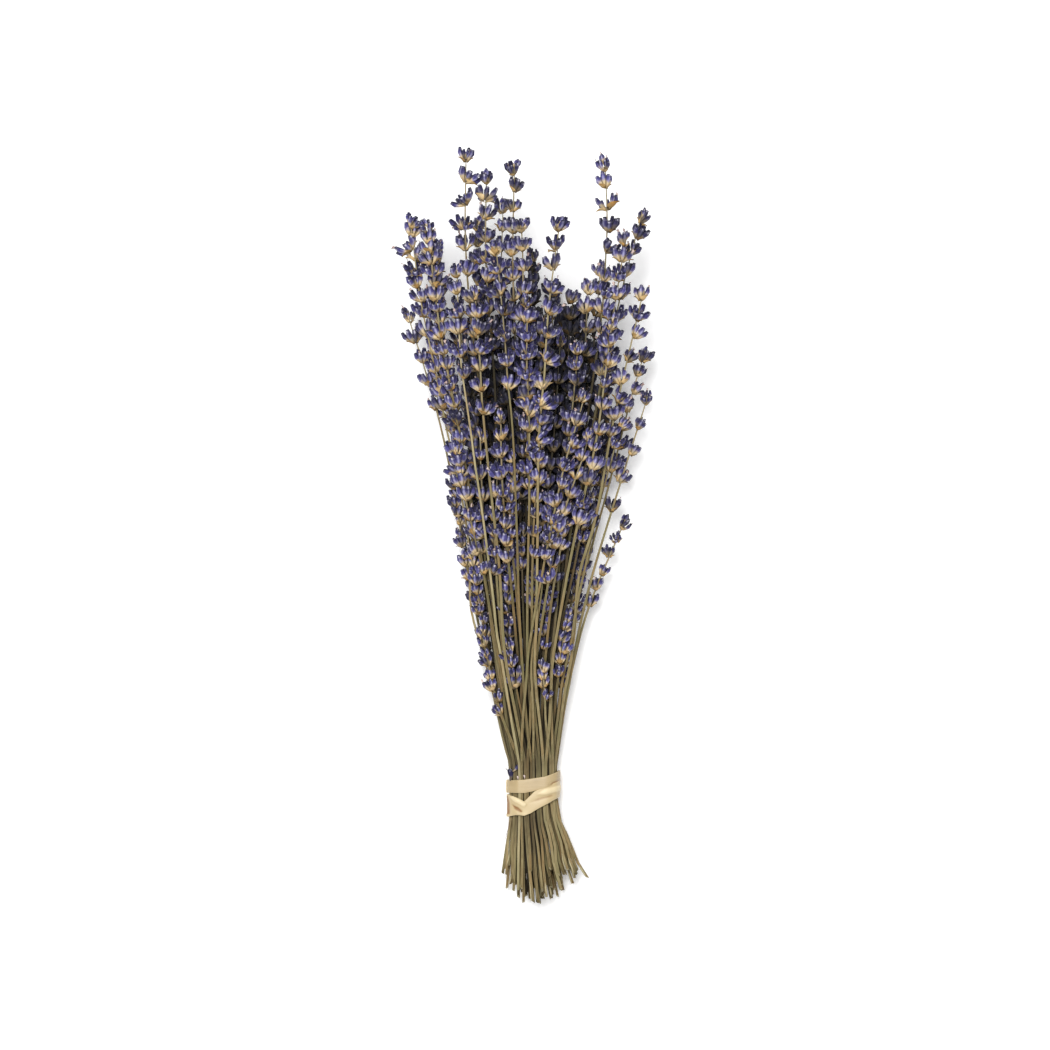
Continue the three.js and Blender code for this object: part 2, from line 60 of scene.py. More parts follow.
# The band, as in the solids
BAND_THICKNESS = 1
BAND_GAP = 0.25
BAND_LIFT = 0.95
FIRST_FRONT = [
    (-12, 4.5, -1.8),
    (-4.5, 5, -1.8),
    (0, 5.7, -0.8),
    (5.5, 6.6, 0.6),
    (9.5, 8.3, 2.4),
    (12, 9.8, 4),
]
FIRST_UNDER = [(-12, -2.6, -13.8), (-9, -2.2, -10.6), (0, 3.2, -3.6), (12, 9.8, 4)]
SECOND_FRONT = [
    (-12, -2.6, -13.8),
    (-8.5, -4.2, -12.6),
    (-5, -6.4, -13),
    (-2, -3.4, -12),
    (0.5, -0.9, -10.4),
    (5.5, 1, -7.6),
    (12, 4.6, -3.4),
]
SECOND_UNDER = [(-12, 4.5, -1.8), (12, 4.6, -3.4)]
LIFT_FRONT = [(-2, 0), (5, BAND_LIFT)]
LIFT_UNDER = [(-11, 0), (-7.4, BAND_LIFT)]
NO_LIFT = [(0, 0)]

# The bundle at the band, as in the solids
ROW_PAIRS = [5, 7, 8, 8, 8, 7, 5]
ROW_PITCH = 1.95
MATE_PITCH = 1.18
PAIR_PITCH = 2.98
ROW_SHIFT = 0.3
BUNDLE_SIDE = -0.4
BUNDLE_UNDERSIDE = BAND_GAP + BAND_LIFT + BAND_THICKNESS
BUNDLE_CENTRE = BUNDLE_UNDERSIDE + STEM_RADIUS * math.sqrt(0.5) + ROW_PITCH * (len(ROW_PAIRS) - 1) / 2

# The generator that varies the layout, as in the solids
LAYOUT_SEED = 20417
LAYOUT_FACTOR = 16807
LAYOUT_MODULUS = 2147483647

# The outline of the bunch, as in the solids
HALF_WIDTH = 13
WIDENING = 0.2
HALF_HEIGHT = 7.2
THICKENING = 0.096
LEAN = -1
BOW = -3
BOW_LENGTH = 190
BOW_PEAK = 6.75
RAISED_LENGTH = 60
START_SLOPE = 0.7
FLARE_SLOPE = 1.25
CUT_LENGTH = 53
CUT_ROUNDING = 8
CUT_VARIATION = 9
CUT_SPREAD = 1.68
CUT_SHIFT = 4.8
CUT_THICKENING = 0.06

# How the stems keep clear of each other, as in the solids
LOWEST = -60
HIGHEST = 324
STEP = 4
BOUND_LOW = -16
BOUND_HIGH = 12
LOOSENING = 17
TIED_APART = 2.25
CLEARANCE = 0.5
LEAN_ALLOWANCE = 0.9
ROUNDS = 240
PULL_ROUNDS = 100
PUSH = 0.45
PULL = 0.04
LEAST_HOLD = 0.3
SHOWN_HOLD = 0.6
HIDDEN_HOLD = 0.1
FIRST_EVENING = 0.5
LAST_EVENING = 0.15
FLOOR_GAP = 0.05

# The stems that show from above: tip, lowest whorl, whorls, depth and, where it is set apart, foot
SHOWN = [
    ((-61, 289), (-57, 245), 6, 0.5),
    ((-52.5, 286), (-47, 227), 7, 0.7),
    ((-46, 276), (-49, 216), 7, 0.3),
    ((-65.5, 243), (-48, 191), 5, 0.1),
    ((-33.5, 320), (-33, 245), 7, 0.6),
    ((-37, 264), (-35.5, 206), 6, 0.95),
    ((-23, 311), (-25, 264), 5, 0.5),
    ((-29.5, 252), (-26, 189), 7, 0.95),
    ((-9.5, 315), (-10.5, 255), 6, 0.6, -4),
    ((-6.5, 286), (-5, 236), 5, 0.8),
    ((-19.5, 275), (-12, 201), 7, 0.95),
    ((-1.5, 272), (-0.5, 243), 4, 0.1),
    ((-3, 249), (-1.5, 196), 6, 0.9),
    ((14, 286), (2, 202), 8, 0.95),
    ((5.5, 201), (0.5, 162), 5, 0.9),
    ((19.5, 251), (20.5, 219), 4, 0.2),
    ((21.5, 225), (19, 195), 4, 0.7),
    ((34.5, 318), (37.5, 256), 6, 0.5),
    ((44, 280), (39, 235), 5, 0.6),
    ((39, 239), (31.5, 179), 6, 0.95),
    ((55.5, 292), (40, 236), 6, 0.2),
    ((55.5, 253), (44, 204), 5, 0.6),
    ((56.5, 223), (48, 190), 4, -0.2),
    ((57, 201), (40.5, 140), 5, 0.2),
    ((51, 139), (28, 92), 6, 0.1),
    ((28, 201), (14.5, 161), 4, 0.95, -7.5),
    ((33, 182), (17.5, 147), 4, 0.9, -4),
    ((11, 151), (8.5, 129), 3, 0.9, -2),
    ((21.5, 145), (13, 122), 3, 0.85, 0),
    ((-9.5, 171), (-8, 121), 6, 0.85, -5),
    ((-16.5, 175), (-18.5, 136), 4, 0.85, -9),
    ((-36, 176), (-32, 145), 4, 0.9, -8.5),
    ((-9.5, 115), (-10.5, 72), 6, 0.8),
    ((-21, 84), (-15, 39), 6, 0.7),
    ((-38, 163), (-24, 95), 7, 0.2),
    ((26, 115), (16, 52), 7, 0.3),
    ((14.5, 116), (6, 72), 4, 0.75),
    ((0.5, 114), (1.5, 92), 3, 0.8),
    ((-15, 136), (-17, 108), 4, 0.7),
    ((-44, 214), (-36, 172), 5, 0.6),
    ((47, 199), (36.5, 160), 4, 0.6),
    ((35, 169), (26, 125), 5, 0.5),
    ((13, 230), (9.5, 170), 6, 0.6),
    ((-13, 191), (-14.5, 157), 4, 0.9),
    ((-6.5, 191), (-8, 156), 4, 0.7),
    ((-23.5, 182), (-27, 145), 4, 0.6),
    ((-4.5, 135), (-4, 112), 3, 0.7),
    ((24, 188), (20, 150), 4, 0.5),
    ((-14.5, 296), (-17, 240), 6, 0.3),
    ((25.5, 256), (22.5, 206), 5, 0.3),
    ((33, 266), (28, 214), 5, 0),
    ((-27, 288), (-29, 232), 6, 0.1),
    ((9, 67), (5, 46), 3, 0.8),
    ((-5.5, 78), (-8, 52), 3, 0.8),
    ((-29, 124), (-21, 78), 5, 0.35),
    ((-19, 71), (-14, 45), 3, 0.2),
    ((23, 92), (15, 58), 4, 0.5),
    ((-33, 152), (-26, 112), 5, 0),
    ((27, 148), (20, 104), 5, 0.1),
]

# The stems inside and under the bunch, as in the solids
HIDDEN_SHORTEST = 126
HIDDEN_REACH = 132
HIDDEN_CROWDING = 0.6
HIDDEN_SPIKE = 42
HIDDEN_VARIATION = 16
WHORL_SPACING = 12.6
GOLDEN_ANGLE = 2.399963229728653
SECTION_FILL = 0.8
HIDDEN_DROP = 0.22
HIDDEN_DEPTH = 0.95

# Stalks: how they thin, how finely they bend, how uneven they are and how far their flat sides lie in
THINNING = 0.62
THINNING_POWER = 2.2
STALK_SIZES = (0.8, 1.06)
STALK_UNEVENNESS = (0.96, 1.03)
STALK_SIDES = 8
STALK_FLAT = 0.8
STALK_STEP = 7
STALK_AIM = 3
TIP_MARGIN = 3

# A cut end: its slant, the width of its face, and the share of the stem's length where the skin starts
CUT_SLANT = 0.9
CUT_FACE = 0.72
SKIN_START = 0.01

# The seed of the first pair of stems, which the other pairs' seeds follow
FLOWER_SEED = 1000

# How light the stems are: painted shade makes those inside the bundle darker than the outer ones, with a
# random spread
STALK_TONE_SPREAD = (0.6, 1.2)
STALK_SHADE_POWER = 4

# Buds: each profile is the share of the length and the radius there, then the bow and the teeth
BUD_LENGTH = 7.8
BUD_SIDES = 8
PLAIN_SIDES = 6
BUD_GROOVE = 0.93
BUD_SHAPES = [
    ([(0, 0.42), (0.32, 0.84), (0.68, 1.5), (1.02, 0.92)], 0.7, 0.5),
    ([(0, 0.4), (0.35, 0.76), (0.72, 1.36), (1.06, 0.8)], 0.9, 0.6),
    ([(0, 0.45), (0.3, 0.92), (0.64, 1.6), (0.97, 1.02)], 0.5, 0.4),
]
# How much the rib layer follows the outward side of a bud: the calyx tints paint a highlight there and shade
# on the inward side
OUTWARD_HIGHLIGHT_SHARE = 0.6
MOUTH_DEPTH = 0.88
MOUTH_RADIUS = 0.3
MOUTH_SHARE = 1.25

# Rings of buds: how many there are, how far they stand out and how each bud varies
OUTER_BUDS = 7
FEWEST_BUDS = 5
INNER_BUDS = 2
INNER_REACH = 0.5
INNER_LIFT = 0.9
INNER_TURN = 0.7
SMALL_BUD = 0.64
BUD_ROOT = 0.7
BUD_OVERHANG = 1.0
LEAST_REACH = 0.1
STEEPEST = 0.85
BUD_SIZES = (0.88, 1.08)
BUD_WIDTHS = (0.92, 1.08)
BUD_RISES = (0, 0.4)
BUD_LEANS = (-8, 7)
BUD_UNEVENNESS = 0.2
BUD_TONE_SPREAD = 0.14

# Whorls: how they vary in size, opening, lean, place and tone, and how far they sink
WHORL_SIZES = (0.94, 1.2)
WHORL_OPENING = (0.74, 1.14)
WHORL_LEAN = 15
WHORL_STRAY = 0.5
WHORL_SINK = 0.8
WHORL_TONES = (0.05, 0.95)
WHORL_TONE_SPREAD = 0.15

# By level: the least and the most radius of a whorl, the dropped buds, the opening and the darkening
LEAST_WHORLS = ((60, 3), (200, 4.7))
MOST_WHORLS = ((60, 4.2), (200, 5.9))
DROPPED_SHARES = ((230, 0.1), (285, 0.16))
WIDER_OPENINGS = ((220, 1), (270, 1.16))
DARKER_TONES = ((220, 0), (280, 0.18))

# A whorl below the least radius of its level keeps at least this share of its own
LEAST_SHARE = 0.95

# Bracts: their outline, which follows a half wave from foot to point, their cup, and how they vary
BRACT_LENGTH = 3.9
BRACT_WIDTH = 4
BRACT_FOOT = 0.16
BRACT_POINT = 0.97
BRACT_POWER = 0.8
BRACT_FLARE = 1.2
BRACT_CUP = 1.1
BRACT_FLATTENING = 0.7
BRACT_THICKNESS = 0.12
BRACT_SIZES = (0.9, 1.25)
BRACT_LEANS = (2, 16)
BRACT_TURN = 15
BRACT_ROOT = 1.15
BRACT_DROP = 0.4

# What is left of the flowers: how many kinds of petal and bare thread, profile, flatness and crumpling
PETALS = (4, [(0, 0.35), (0.35, 0.5), (0.7, 0.8), (1, 0.95), (0.8, 0.4)], 0.7, 0.22)
THREADS = (3, [(0, 0.3), (0.4, 0.2), (0.8, 0.22), (1, 0.3)], 0.9, 0.04)
PETAL_LENGTH = 2.8
PETAL_SIDES = 6
PETAL_GROOVE = 0.7
PETAL_LEAN = 18
PETAL_BOW = 0.3

# The share of buds with a petal, and as many with a thread, their tones and where they sit
WITHERED_SHARE = 0.07
PETAL_TONES = (0.4, 1)
THREAD_TONES = (0, 0.5)
WITHERED_AT = 0.86

# How blue and light the buds are, from 0 to 1: on the stems that show, and lower as painted shade on the
# lower ones of these and inside
SHOWN_TONE = 0.5
SHADED_LOW_TONE = 0.26
LOW_DEPTH = 0.25
SHADED_HIDDEN_TONE = 0.2

# Painted shade darkens the inside of the bunch, by a measure that is 0 at its middle and 1 at its outline:
# full up to the first, gone from the second
FULL_SHADE_INSIDE = 0.55
NO_SHADE_OUTSIDE = 0.98

# The painted shade is lighter among the upper heads and at the cut ends, where light reaches deeper: from
# level to level, and by how much
OPEN_TOP = (200, 268)
OPEN_TOP_SHARE = 0.7
OPEN_CUT = (-28, -56)
OPEN_CUT_SHARE = 0.45

# Inside the bunch the spikes start further down and have more whorls than in the solids
INNER_SPACING = 7
INNER_EXTENSION = 52
INNER_SWELL = 1.3

# The short spikes have more whorls too, and narrower ones at the sides of the bunch
SHORT_SPIKE = 172
SHORT_SPACING = 5.3
SHORT_SWELL = 0.84
SHORT_SIDE = 12

# The long spikes have denser whorls at the left, and extra ones under the lowest, fewer to the right
DENSE_SIDE = -34
DENSE_SPACING = 6.2
EXTRA_SPACING = (8, 9.8)
EXTRA_TURN = 0.8
EXTRA_LOWEST = 112
EXTRA_MOST = ((-38, 6), (36, 5), (math.inf, 3))

# The spikes that start here keep their solids' whorls, so that the stems under them show
BARE_SIDE = (-37, -8)
BARE_LEVEL = (186, 232)

# The spikes that stand free at the sides keep the whorls of their solids
FREE_RIGHT = 44
FREE_LEFT = -64
FREE_LEVEL = 205

# A terminal tuft of upright buds over the last whorl of each spike
TUFT_LIFT = 1.6
TUFT_BUDS = 3
TUFT_REACH = 0.3
TUFT_TURN = 0.5

# Below the band the stems stray a little from their solids, and those at the right fan out
STRAY = 1.3
STRAY_UP = 0.65
STRAY_FROM = -20
STRAY_POWER = 1.5
FAN = 2.6
FAN_RUN = (-4, -36)

# The cut ends at the right stray the most, and they and a few of the upper stems are cut shorter
RIGHT_SEAT = 8
RIGHT_STRAY = (-2, 5)
RIGHT_SHORTER = (1, 9)
MIDDLE_SHORTER = 6
SHORTER_SHARE = 0.22
SHORTER_ROWS = 8
SHORTER = (6, 15)

# Pale slivers of skin that peel off at the cut ends: their width follows part of a half wave
SLIVER_SHARE = 0.24
SLIVER_LENGTHS = (4, 10)
SLIVER_STATIONS = (0, 0.3, 0.6, 1)
SLIVER_SIDES = 6
SLIVER_TURN = 60
SLIVER_WIDTH = 0.5
SLIVER_ARC = (0.4, 2.7)
SLIVER_THICKNESS = 0.09
SLIVER_CURL = 0.7

# Where the surface under the bunch starts to press its lowest buds up, and by how much they still sink
PRESSED_BELOW = 0.5
PRESSED_LEAST = 0.6

# Detail of the band: steps, strips across, thinner edges, rounding, and how far it stands off its seat
BAND_STEP = 0.8
BAND_TURN = 0.15
BAND_STRIPS = 14
BAND_SMOOTHING = 18
BAND_EDGE = 0.18
BAND_EDGE_POWER = 6
BAND_DEPTH = 0.8
BAND_EASE = 0.15
BAND_ROUNDING = 0.18
BAND_ROUNDING_STEPS = 2

# Ridges and creases of its folds: start, stop, height and width, all lower and narrower at their start
RIDGE_START = 0.45
RIDGE_RISE = 2.5
FIRST_RIDGES = [((-3, -2), (1, -2.2), 0.5, 0.7), ((7, 2.2), (11, 4.4), -0.35, 0.8)]
SECOND_RIDGES = [
    ((-11.4, -3), (-5, -7.6), 0.6, 0.8),
    ((-9.8, -7.6), (-6.4, -11.2), -0.65, 1),
    ((-12.1, -3), (-11.9, -11.8), -0.6, 1),
    ((2, -2.2), (11, 0.6), 0.6, 1.3),
    ((-2, -6.4), (8, -3), -0.3, 1.1),
    ((-9, -12), (-3, -12.4), 0.3, 0.9),
]

# The fallen buds at the band, by place, turn, size and tone, and the places of the petals by them
FALLEN_BUDS = [((-11.7, 4), 8, 1.05, 0.02), ((-10.6, 9), -35, 0.7, 0.3)]
FALLEN_TIP = -82
FALLEN_SQUASH = 0.75
FALLEN_LIFT = 0.9
FALLEN_PETALS = [(-8.1, 5), (-4.7, 5.6)]
FALLEN_PETAL_TIP = -85
FALLEN_PETAL_SIZE = 0.6
FALLEN_PETAL_TONE = 0.9

# The fibres at the band: where each starts, how far it runs, and how they all rise and bend
FIBRES = [((-11, 8), (-3.6, 2.4)), ((-11.5, 7.2), (-2.6, 3.4)), ((-12, -16), (-2.4, -9))]
FIBRE_RADIUS = 0.11
FIBRE_SIDES = 5
FIBRE_STEPS = 6
FIBRE_RISE = 0.8
FIBRE_BEND = 0.25
FIBRE_TONE = 0.2

# The mix node's sockets for colours
MIX_A = 6
MIX_B = 7
MIX_RESULT = 2

# Noises of the finishes: scale, detail, roughness and stretch
CALYX_NOISES = dict(patches=(380,), down=(1300, 2))
STALK_NOISES = dict(streaks=(1, 4, 0.6, (1700, 60, 1700)), patches=(90,), hue=(1, 2, 0.5, (300, 6, 300)))
BRACT_NOISES = dict(veins=(1, 3, 0.6, (2400, 500, 2400)), rust=(160,))
PETAL_NOISES = dict(creases=(1500, 4))
RUBBER_NOISES = dict(grain=(1, 3, 0.6, (200, 2400, 200)), clouds=(110, 2))
FLOOR_NOISES = dict(clouds=(3,), grain=(900,))

# Ramps of colour: up a calyx from its base, and from dark to light on everything else
CALYX_COLOURS = [
    (0, "cdae7b"),
    (0.4, "cdb993"),
    (0.52, "9c9098"),
    (0.62, "4a4577"),
    (0.8, "322e64"),
    (1, "232049"),
]
STALK_COLOURS = [(0.2, "42371f"), (0.42, "716240"), (0.6, "918460"), (0.8, "afa27d")]
BRACT_COLOURS = [(0.2, "7a5e3a"), (0.42, "b3925b"), (0.62, "cbac78"), (0.85, "d8c49e")]
PETAL_COLOURS = [(0.15, "3c2c2a"), (0.35, "6f5554"), (0.6, "c0a8a2"), (0.85, "ddccc2")]
RUBBER_COLOURS = [(0.25, "a08a64"), (0.5, "b29d76"), (0.75, "beab86")]
FLOOR_COLOURS = [(0.3, "f8f8f8"), (0.7, "ffffff")]

# Tints over them: a colour, then spans of a measure, from where to where and from share to share
CALYX_TINTS = [
    # Pale ribs, partly real down and partly a painted highlight on the outward side of each bud
    ("a4a1c4", ("rib", 0.52, 1, 0, 0.9), ("height", 0.38, 0.62), ("along", 0.66, 0.95, 1, 0.1)),
    # Painted shade in the grooves and on the inward side of each bud, between the buds
    ("0c0922", ("rib", 0.5, 0.1, 0, 0.78), ("height", 0.2, 0.5, 0.3, 1)),
    ("56529a", ("tone", 0.5, 1, 0, 0.35), ("height", 0.38, 0.62)),
    # Darker for low tones: random tone, and painted shade on the low and hidden spikes
    ("110e2a", ("tone", 0, 0.5, 0.8, 0)),
    ("c3bfd0", ("rib", 0.3, 0.8), ("along", 0.82, 0.96), ("patches", 0.38, 0.54, 0.2, 0.9)),
    ("b9b3bd", ("down", 0.64, 0.72), ("along", 0.4, 1, 0, 0.45)),
    # Painted shade inside the hollow mouth
    ("0f0c16", ("along", 1.06, 1.2)),
]
STALK_TINTS = [
    ("8c6c42", ("hue", 0.5, 0.64, 0, 0.4)),
    ("6f6f49", ("hue", 0.48, 0.36, 0, 0.4)),
    ("6e5635", ("patches", 0.55, 0.75, 0, 0.45)),
    # Painted highlight on the edges of the square stems
    ("a99c70", ("rib", 0.4, 1, 0, 0.3)),
    ("aaa186", ("along", 0.6, 1, 0, 0.4)),
]
CUT_TINTS = [("b9ae8a", ("along", 0.009, 0, 0, 0.75))]
BRACT_TINTS = [("c08a45", ("rust", 0.52, 0.64, 0, 0.55)), ("7a5230", ("along", 0.6, 1, 0, 0.4))]
RUBBER_TINTS = [
    ("cdb98f", ("tone", 0, 1, 0, 0.55)),
    # Painted highlights on the ridges and the edges, and painted shade in the creases
    ("e3d2ab", ("rib", 0.1, 0.5, 0, 0.75)),
    ("835829", ("rib", -0.08, -0.45, 0, 0.85)),
    ("d3c198", ("edge", 0.44, 0.5, 0, 0.5)),
]

# The camera over the bunch, and the size of the photograph's frame at the bunch
LENS = 240
SENSOR = 36
CLIP_END = 20
FRAME_WIDTH = 525
FRAME_CENTRE = (-4.5, 132.8)
FRAME_HEIGHT = 30

# The floor, and each lamp's name, place, aim, size and power
FLOOR_SIZE = 6
FLOOR_LEVEL = -0.0003
FLOOR_GLOW = 0.16
LAMPS = [
    ("softbox", (-0.1, 0.25, 1.9), (0, 0.13, 0), 2, 29),
    ("key", (-0.3, 0.6, 1.9), (0, 0.13, 0), 0.7, 25),
]
WORLD_BRIGHTNESS = 0.24


# The layout of the stems
def layout_numbers():
    """The minimal standard generator, as in the solids."""
    number = LAYOUT_SEED
    while True:
        number = number * LAYOUT_FACTOR % LAYOUT_MODULUS
        yield number / LAYOUT_MODULUS


numbers = layout_numbers()


def clamp(value, low, high):
    return min(high, max(low, value))


def mix(a, b, share):
    return a + (b - a) * share


def share_of(run, value):
    """How far a value is along a run, from 0 at its start to 1 at its end."""
    return clamp((value - run[0]) / (run[1] - run[0]), 0, 1)


def row_value(rows, x, column=1):
    """The value of rows of places at x, straight between them and level beyond them."""
    return float(np.interp(x, [row[0] for row in rows], [row[column] for row in rows]))


def half_width(y):
    return HALF_WIDTH + WIDENING * max(y, 0)


def half_height(y):
    return HALF_HEIGHT + (THICKENING * y if y > 0 else -CUT_THICKENING * y)


def middle_height(y):
    return half_height(y) + (BUNDLE_CENTRE - HALF_HEIGHT) * clamp(1 - y / RAISED_LENGTH, 0, 1)


def bow(y):
    share = clamp((y - BOUND_HIGH) / BOW_LENGTH, 0, 1)
    return BOW * BOW_PEAK * share * (1 - share) * (1 - share)


def height_at(x, y, depth):
    side = clamp((x - LEAN) / half_width(y), -1, 1)
    return middle_height(y) + half_height(y) * math.sqrt(1 - side * side) * depth


def whorls_of(low, tip, count, start_angle):
    """The whorls of a spike, each as base, height, radius and angle."""
    whorls = []
    span = tip - CROWN_HEIGHT - SPIKE_TIP - low
    for i in range(count):
        share = i / (count - 1)
        base = low + span * share * (1 + WHORL_CROWDING - WHORL_CROWDING * share)
        taper = {count - 1: TOP_WHORL, count - 2: SECOND_WHORL}.get(i, 1)
        radius = min(SMALL_WHORL + WHORL_GROWTH * base, WIDEST_WHORL) * taper
        height = min(CROWN_HEIGHT, CROWN_SHARE * span / (count - 1))
        whorls.append((base, height, radius, start_angle + i * math.pi / 4))
    return whorls


def shown_stems():
    stems = []
    for tip, low, count, depth, *foot in SHOWN:
        foot = foot[0] if foot else (low[0] - LEAN) / half_width(low[1]) * HALF_WIDTH
        whorls = whorls_of(low[1], tip[1], count, next(numbers) * math.pi)
        stems.append(dict(tip=tip, low=low, depth=depth, foot=foot, hold=SHOWN_HOLD, whorls=whorls))
    return stems


def hidden_stems(count):
    stems = []
    for i in range(count):
        reach = SECTION_FILL * math.sqrt((i + 0.5) / count)
        across = reach * math.cos(i * GOLDEN_ANGLE)
        depth = clamp(reach * math.sin(i * GOLDEN_ANGLE) - HIDDEN_DROP, -HIDDEN_DEPTH, HIDDEN_DEPTH)
        tip_y = HIDDEN_SHORTEST + HIDDEN_REACH * next(numbers) ** HIDDEN_CROWDING
        low_y = tip_y - HIDDEN_SPIKE - HIDDEN_VARIATION * next(numbers)
        tip = (LEAN + across * half_width(tip_y), tip_y)
        low = (LEAN + across * half_width(low_y), low_y)
        number = int((tip_y - CROWN_HEIGHT - low_y) / WHORL_SPACING + 0.5) + 1
        whorls = whorls_of(low_y, tip_y, number, next(numbers) * math.pi)
        foot = across * HALF_WIDTH
        stems.append(dict(tip=tip, low=low, depth=depth, foot=foot, hold=HIDDEN_HOLD, whorls=whorls))
    return stems


def seated(stems):
    """Gives each stem its place in the bundle, row by row from the top."""
    waiting = sorted(stems, key=lambda stem: -stem["depth"])
    placed = []
    for row, pairs in enumerate(ROW_PAIRS):
        in_row = sorted(waiting[: 2 * pairs], key=lambda stem: stem["foot"])
        waiting = waiting[2 * pairs :]
        z = BUNDLE_CENTRE + ROW_PITCH * ((len(ROW_PAIRS) - 1) / 2 - row)
        shift = ROW_SHIFT if row % 2 else -ROW_SHIFT
        for i, stem in enumerate(in_row):
            mate = (0.5 if i % 2 else -0.5) * MATE_PITCH
            x = (i // 2 - (pairs - 1) / 2) * PAIR_PITCH + mate + shift + BUNDLE_SIDE
            edge = x / HALF_WIDTH
            end = CUT_ROUNDING * edge * edge - CUT_LENGTH - CUT_VARIATION * (next(numbers) - 0.5)
            placed.append(dict(stem, seat=(x, z), end=end))
    return placed


def eased(y, start, stop, slope_start, slope_stop):
    run = stop[1] - start[1]
    t = (y - start[1]) / run
    u = 1 - t
    ends = u * u * (1 + 2 * t) * start[0] + t * t * (3 - 2 * t) * stop[0]
    return ends + t * u * run * (u * slope_start - t * slope_stop)


def free_course(stem, y):
    """Where a stem would run, at a level, if nothing were in its way."""
    x, z = stem["seat"]
    if y < BOUND_LOW:
        share = (BOUND_LOW - y) / (BOUND_LOW + CUT_LENGTH)
        fallen = middle_height(y) + (z - BUNDLE_CENTRE) * half_height(y) / HALF_HEIGHT
        return mix(x, x * CUT_SPREAD + CUT_SHIFT, share), mix(z, fallen, min(share, 1))
    if y <= BOUND_HIGH:
        return x, z
    low, tip = stem["low"], stem["tip"]
    chord = (low[0] - x) / (low[1] - BOUND_HIGH)
    spike = (tip[0] - low[0]) / (tip[1] - low[1])
    flare = chord * FLARE_SLOPE
    if y < low[1]:
        across = eased(y, (x, BOUND_HIGH), low, chord * START_SLOPE, flare)
    else:
        across = eased(y, low, tip, flare, spike)
    share = min(1, (y - BOUND_HIGH) / (low[1] - BOUND_HIGH))
    opened = middle_height(y) + half_height(y) * (z - BUNDLE_CENTRE) / HALF_HEIGHT
    height = mix(opened, height_at(across, y, stem["depth"]), share * (2 - share))
    return across + bow(y), height


def reach_at(stem, y):
    """How far a stem reaches from its middle at a level, with its whorls."""
    reach = STEM_RADIUS
    whorls = stem["whorls"]
    for i, (base, height, radius, _) in enumerate(whorls):
        next_base = whorls[i + 1][0] if i + 1 < len(whorls) else stem["tip"][1]
        for at in (y - STEP / 2 - LEAN_ALLOWANCE, y, y + STEP / 2 + LEAN_ALLOWANCE):
            rising = (at - base) / height
            falling = (next_base - at) / (next_base - base - height)
            reach = max(reach, mix(STEM_RADIUS, radius, min(rising, falling, 1)))
    return reach


def wanted_distances(levels, reaches):
    """The least distance between two stems at every level."""
    count = len(reaches)
    away = np.maximum(BOUND_LOW - levels, levels - BOUND_HIGH)
    loose = np.clip(away / LOOSENING, 0, 1)
    pair = np.arange(count) // 2
    tied = np.where(pair[:, None] == pair[None, :], MATE_PITCH, TIED_APART)[:, :, None]
    full = reaches[:, None, :] + reaches[None, :, :] + CLEARANCE
    return tied + (full - tied) * loose


def spaced_out(stems):
    """Moves the stems apart at every level, while each stays smooth."""
    levels = np.arange(LOWEST, HIGHEST + 1, STEP, dtype=float)
    goals = np.array([[free_course(stem, y) for y in levels] for stem in stems])
    reaches = np.array([[reach_at(stem, y) for y in levels] for stem in stems])
    ends = np.array([(stem["end"] - STEP, stem["tip"][1] + STEP) for stem in stems])
    there = (levels >= ends[:, :1]) & (levels <= ends[:, 1:])
    hold = np.array([stem["hold"] for stem in stems])[:, None]
    free = (levels < BOUND_LOW) | (levels > BOUND_HIGH)
    inside = free.copy()
    inside[[0, -1]] = False
    wanted = wanted_distances(levels, reaches)
    both = there[:, None, :] & there[None, :, :] & free
    both[np.arange(len(stems)), np.arange(len(stems))] = False
    courses = goals.copy()
    for turn in range(ROUNDS):
        dx = courses[None, :, :, 0] - courses[:, None, :, 0]
        dz = courses[None, :, :, 1] - courses[:, None, :, 1]
        apart = np.sqrt(dx * dx + dz * dz)
        close = both & (apart < wanted)
        push = np.where(close, PUSH * (wanted - apart) / np.maximum(apart, TINY), 0)
        x = courses[:, :, 0] - (push * dx).sum(axis=1) * (1 - hold)
        z = courses[:, :, 1] - (push * dz).sum(axis=1)
        moved = np.stack([x, np.maximum(z, reaches + FLOOR_GAP)], axis=2)
        courses = np.where((there & free)[:, :, None], moved, courses)
        pull, evening = (PULL, FIRST_EVENING) if turn < PULL_ROUNDS else (0, LAST_EVENING)
        even = courses.copy()
        even[:, 1:-1] = (courses[:, :-2] + courses[:, 2:]) / 2
        smooth = courses + (even - courses) * evening
        smooth += (goals - smooth) * (pull * (LEAST_HOLD + hold))[:, :, None]
        courses = np.where(inside[None, :, None], smooth, courses)
    return levels, courses


stems = shown_stems()
stems += hidden_stems(2 * sum(ROW_PAIRS) - len(stems))
stems = seated(stems)
levels, courses = spaced_out(stems)


# Matrices and colours
def shifted(x, y, z):
    return Matrix.Translation((x, y, z))


def turned(degrees, axis):
    return Matrix.Rotation(math.radians(degrees), 4, axis)


def sized(x, y, z):
    return Matrix.Diagonal((x, y, z, 1))


def linear(code):
    """A colour such as 8f8458 as the renderer's linear red, green, blue and alpha."""
    parts = [int(code[i : i + 2], 16) / 255 for i in (0, 2, 4)]
    return [p / 12.92 if p <= 0.04045 else ((p + 0.055) / 1.055) ** 2.4 for p in parts] + [1]


# Shapes that are repeated, with their height, ribs, tone and place in the bunch kept at each corner
LAYERS = ("along", "rib", "tone", "outside")


def started():
    """A new mesh with the layers that the materials read."""
    bm = bmesh.new()
    for name in LAYERS:
        bm.verts.layers.float.new(name)
    return bm


def next_ring(bm, edges, move, share):
    """Extrudes a ring of edges and moves the new one."""
    made = bmesh.ops.extrude_edge_only(bm, edges=edges)["geom"]
    verts = [item for item in made if isinstance(item, bmesh.types.BMVert)]
    new = set(verts)
    bmesh.ops.transform(bm, matrix=move, verts=verts)
    for vert in verts:
        vert[bm.verts.layers.float["along"]] = share
    return [item for item in made if isinstance(item, bmesh.types.BMEdge) and new.issuperset(item.verts)]


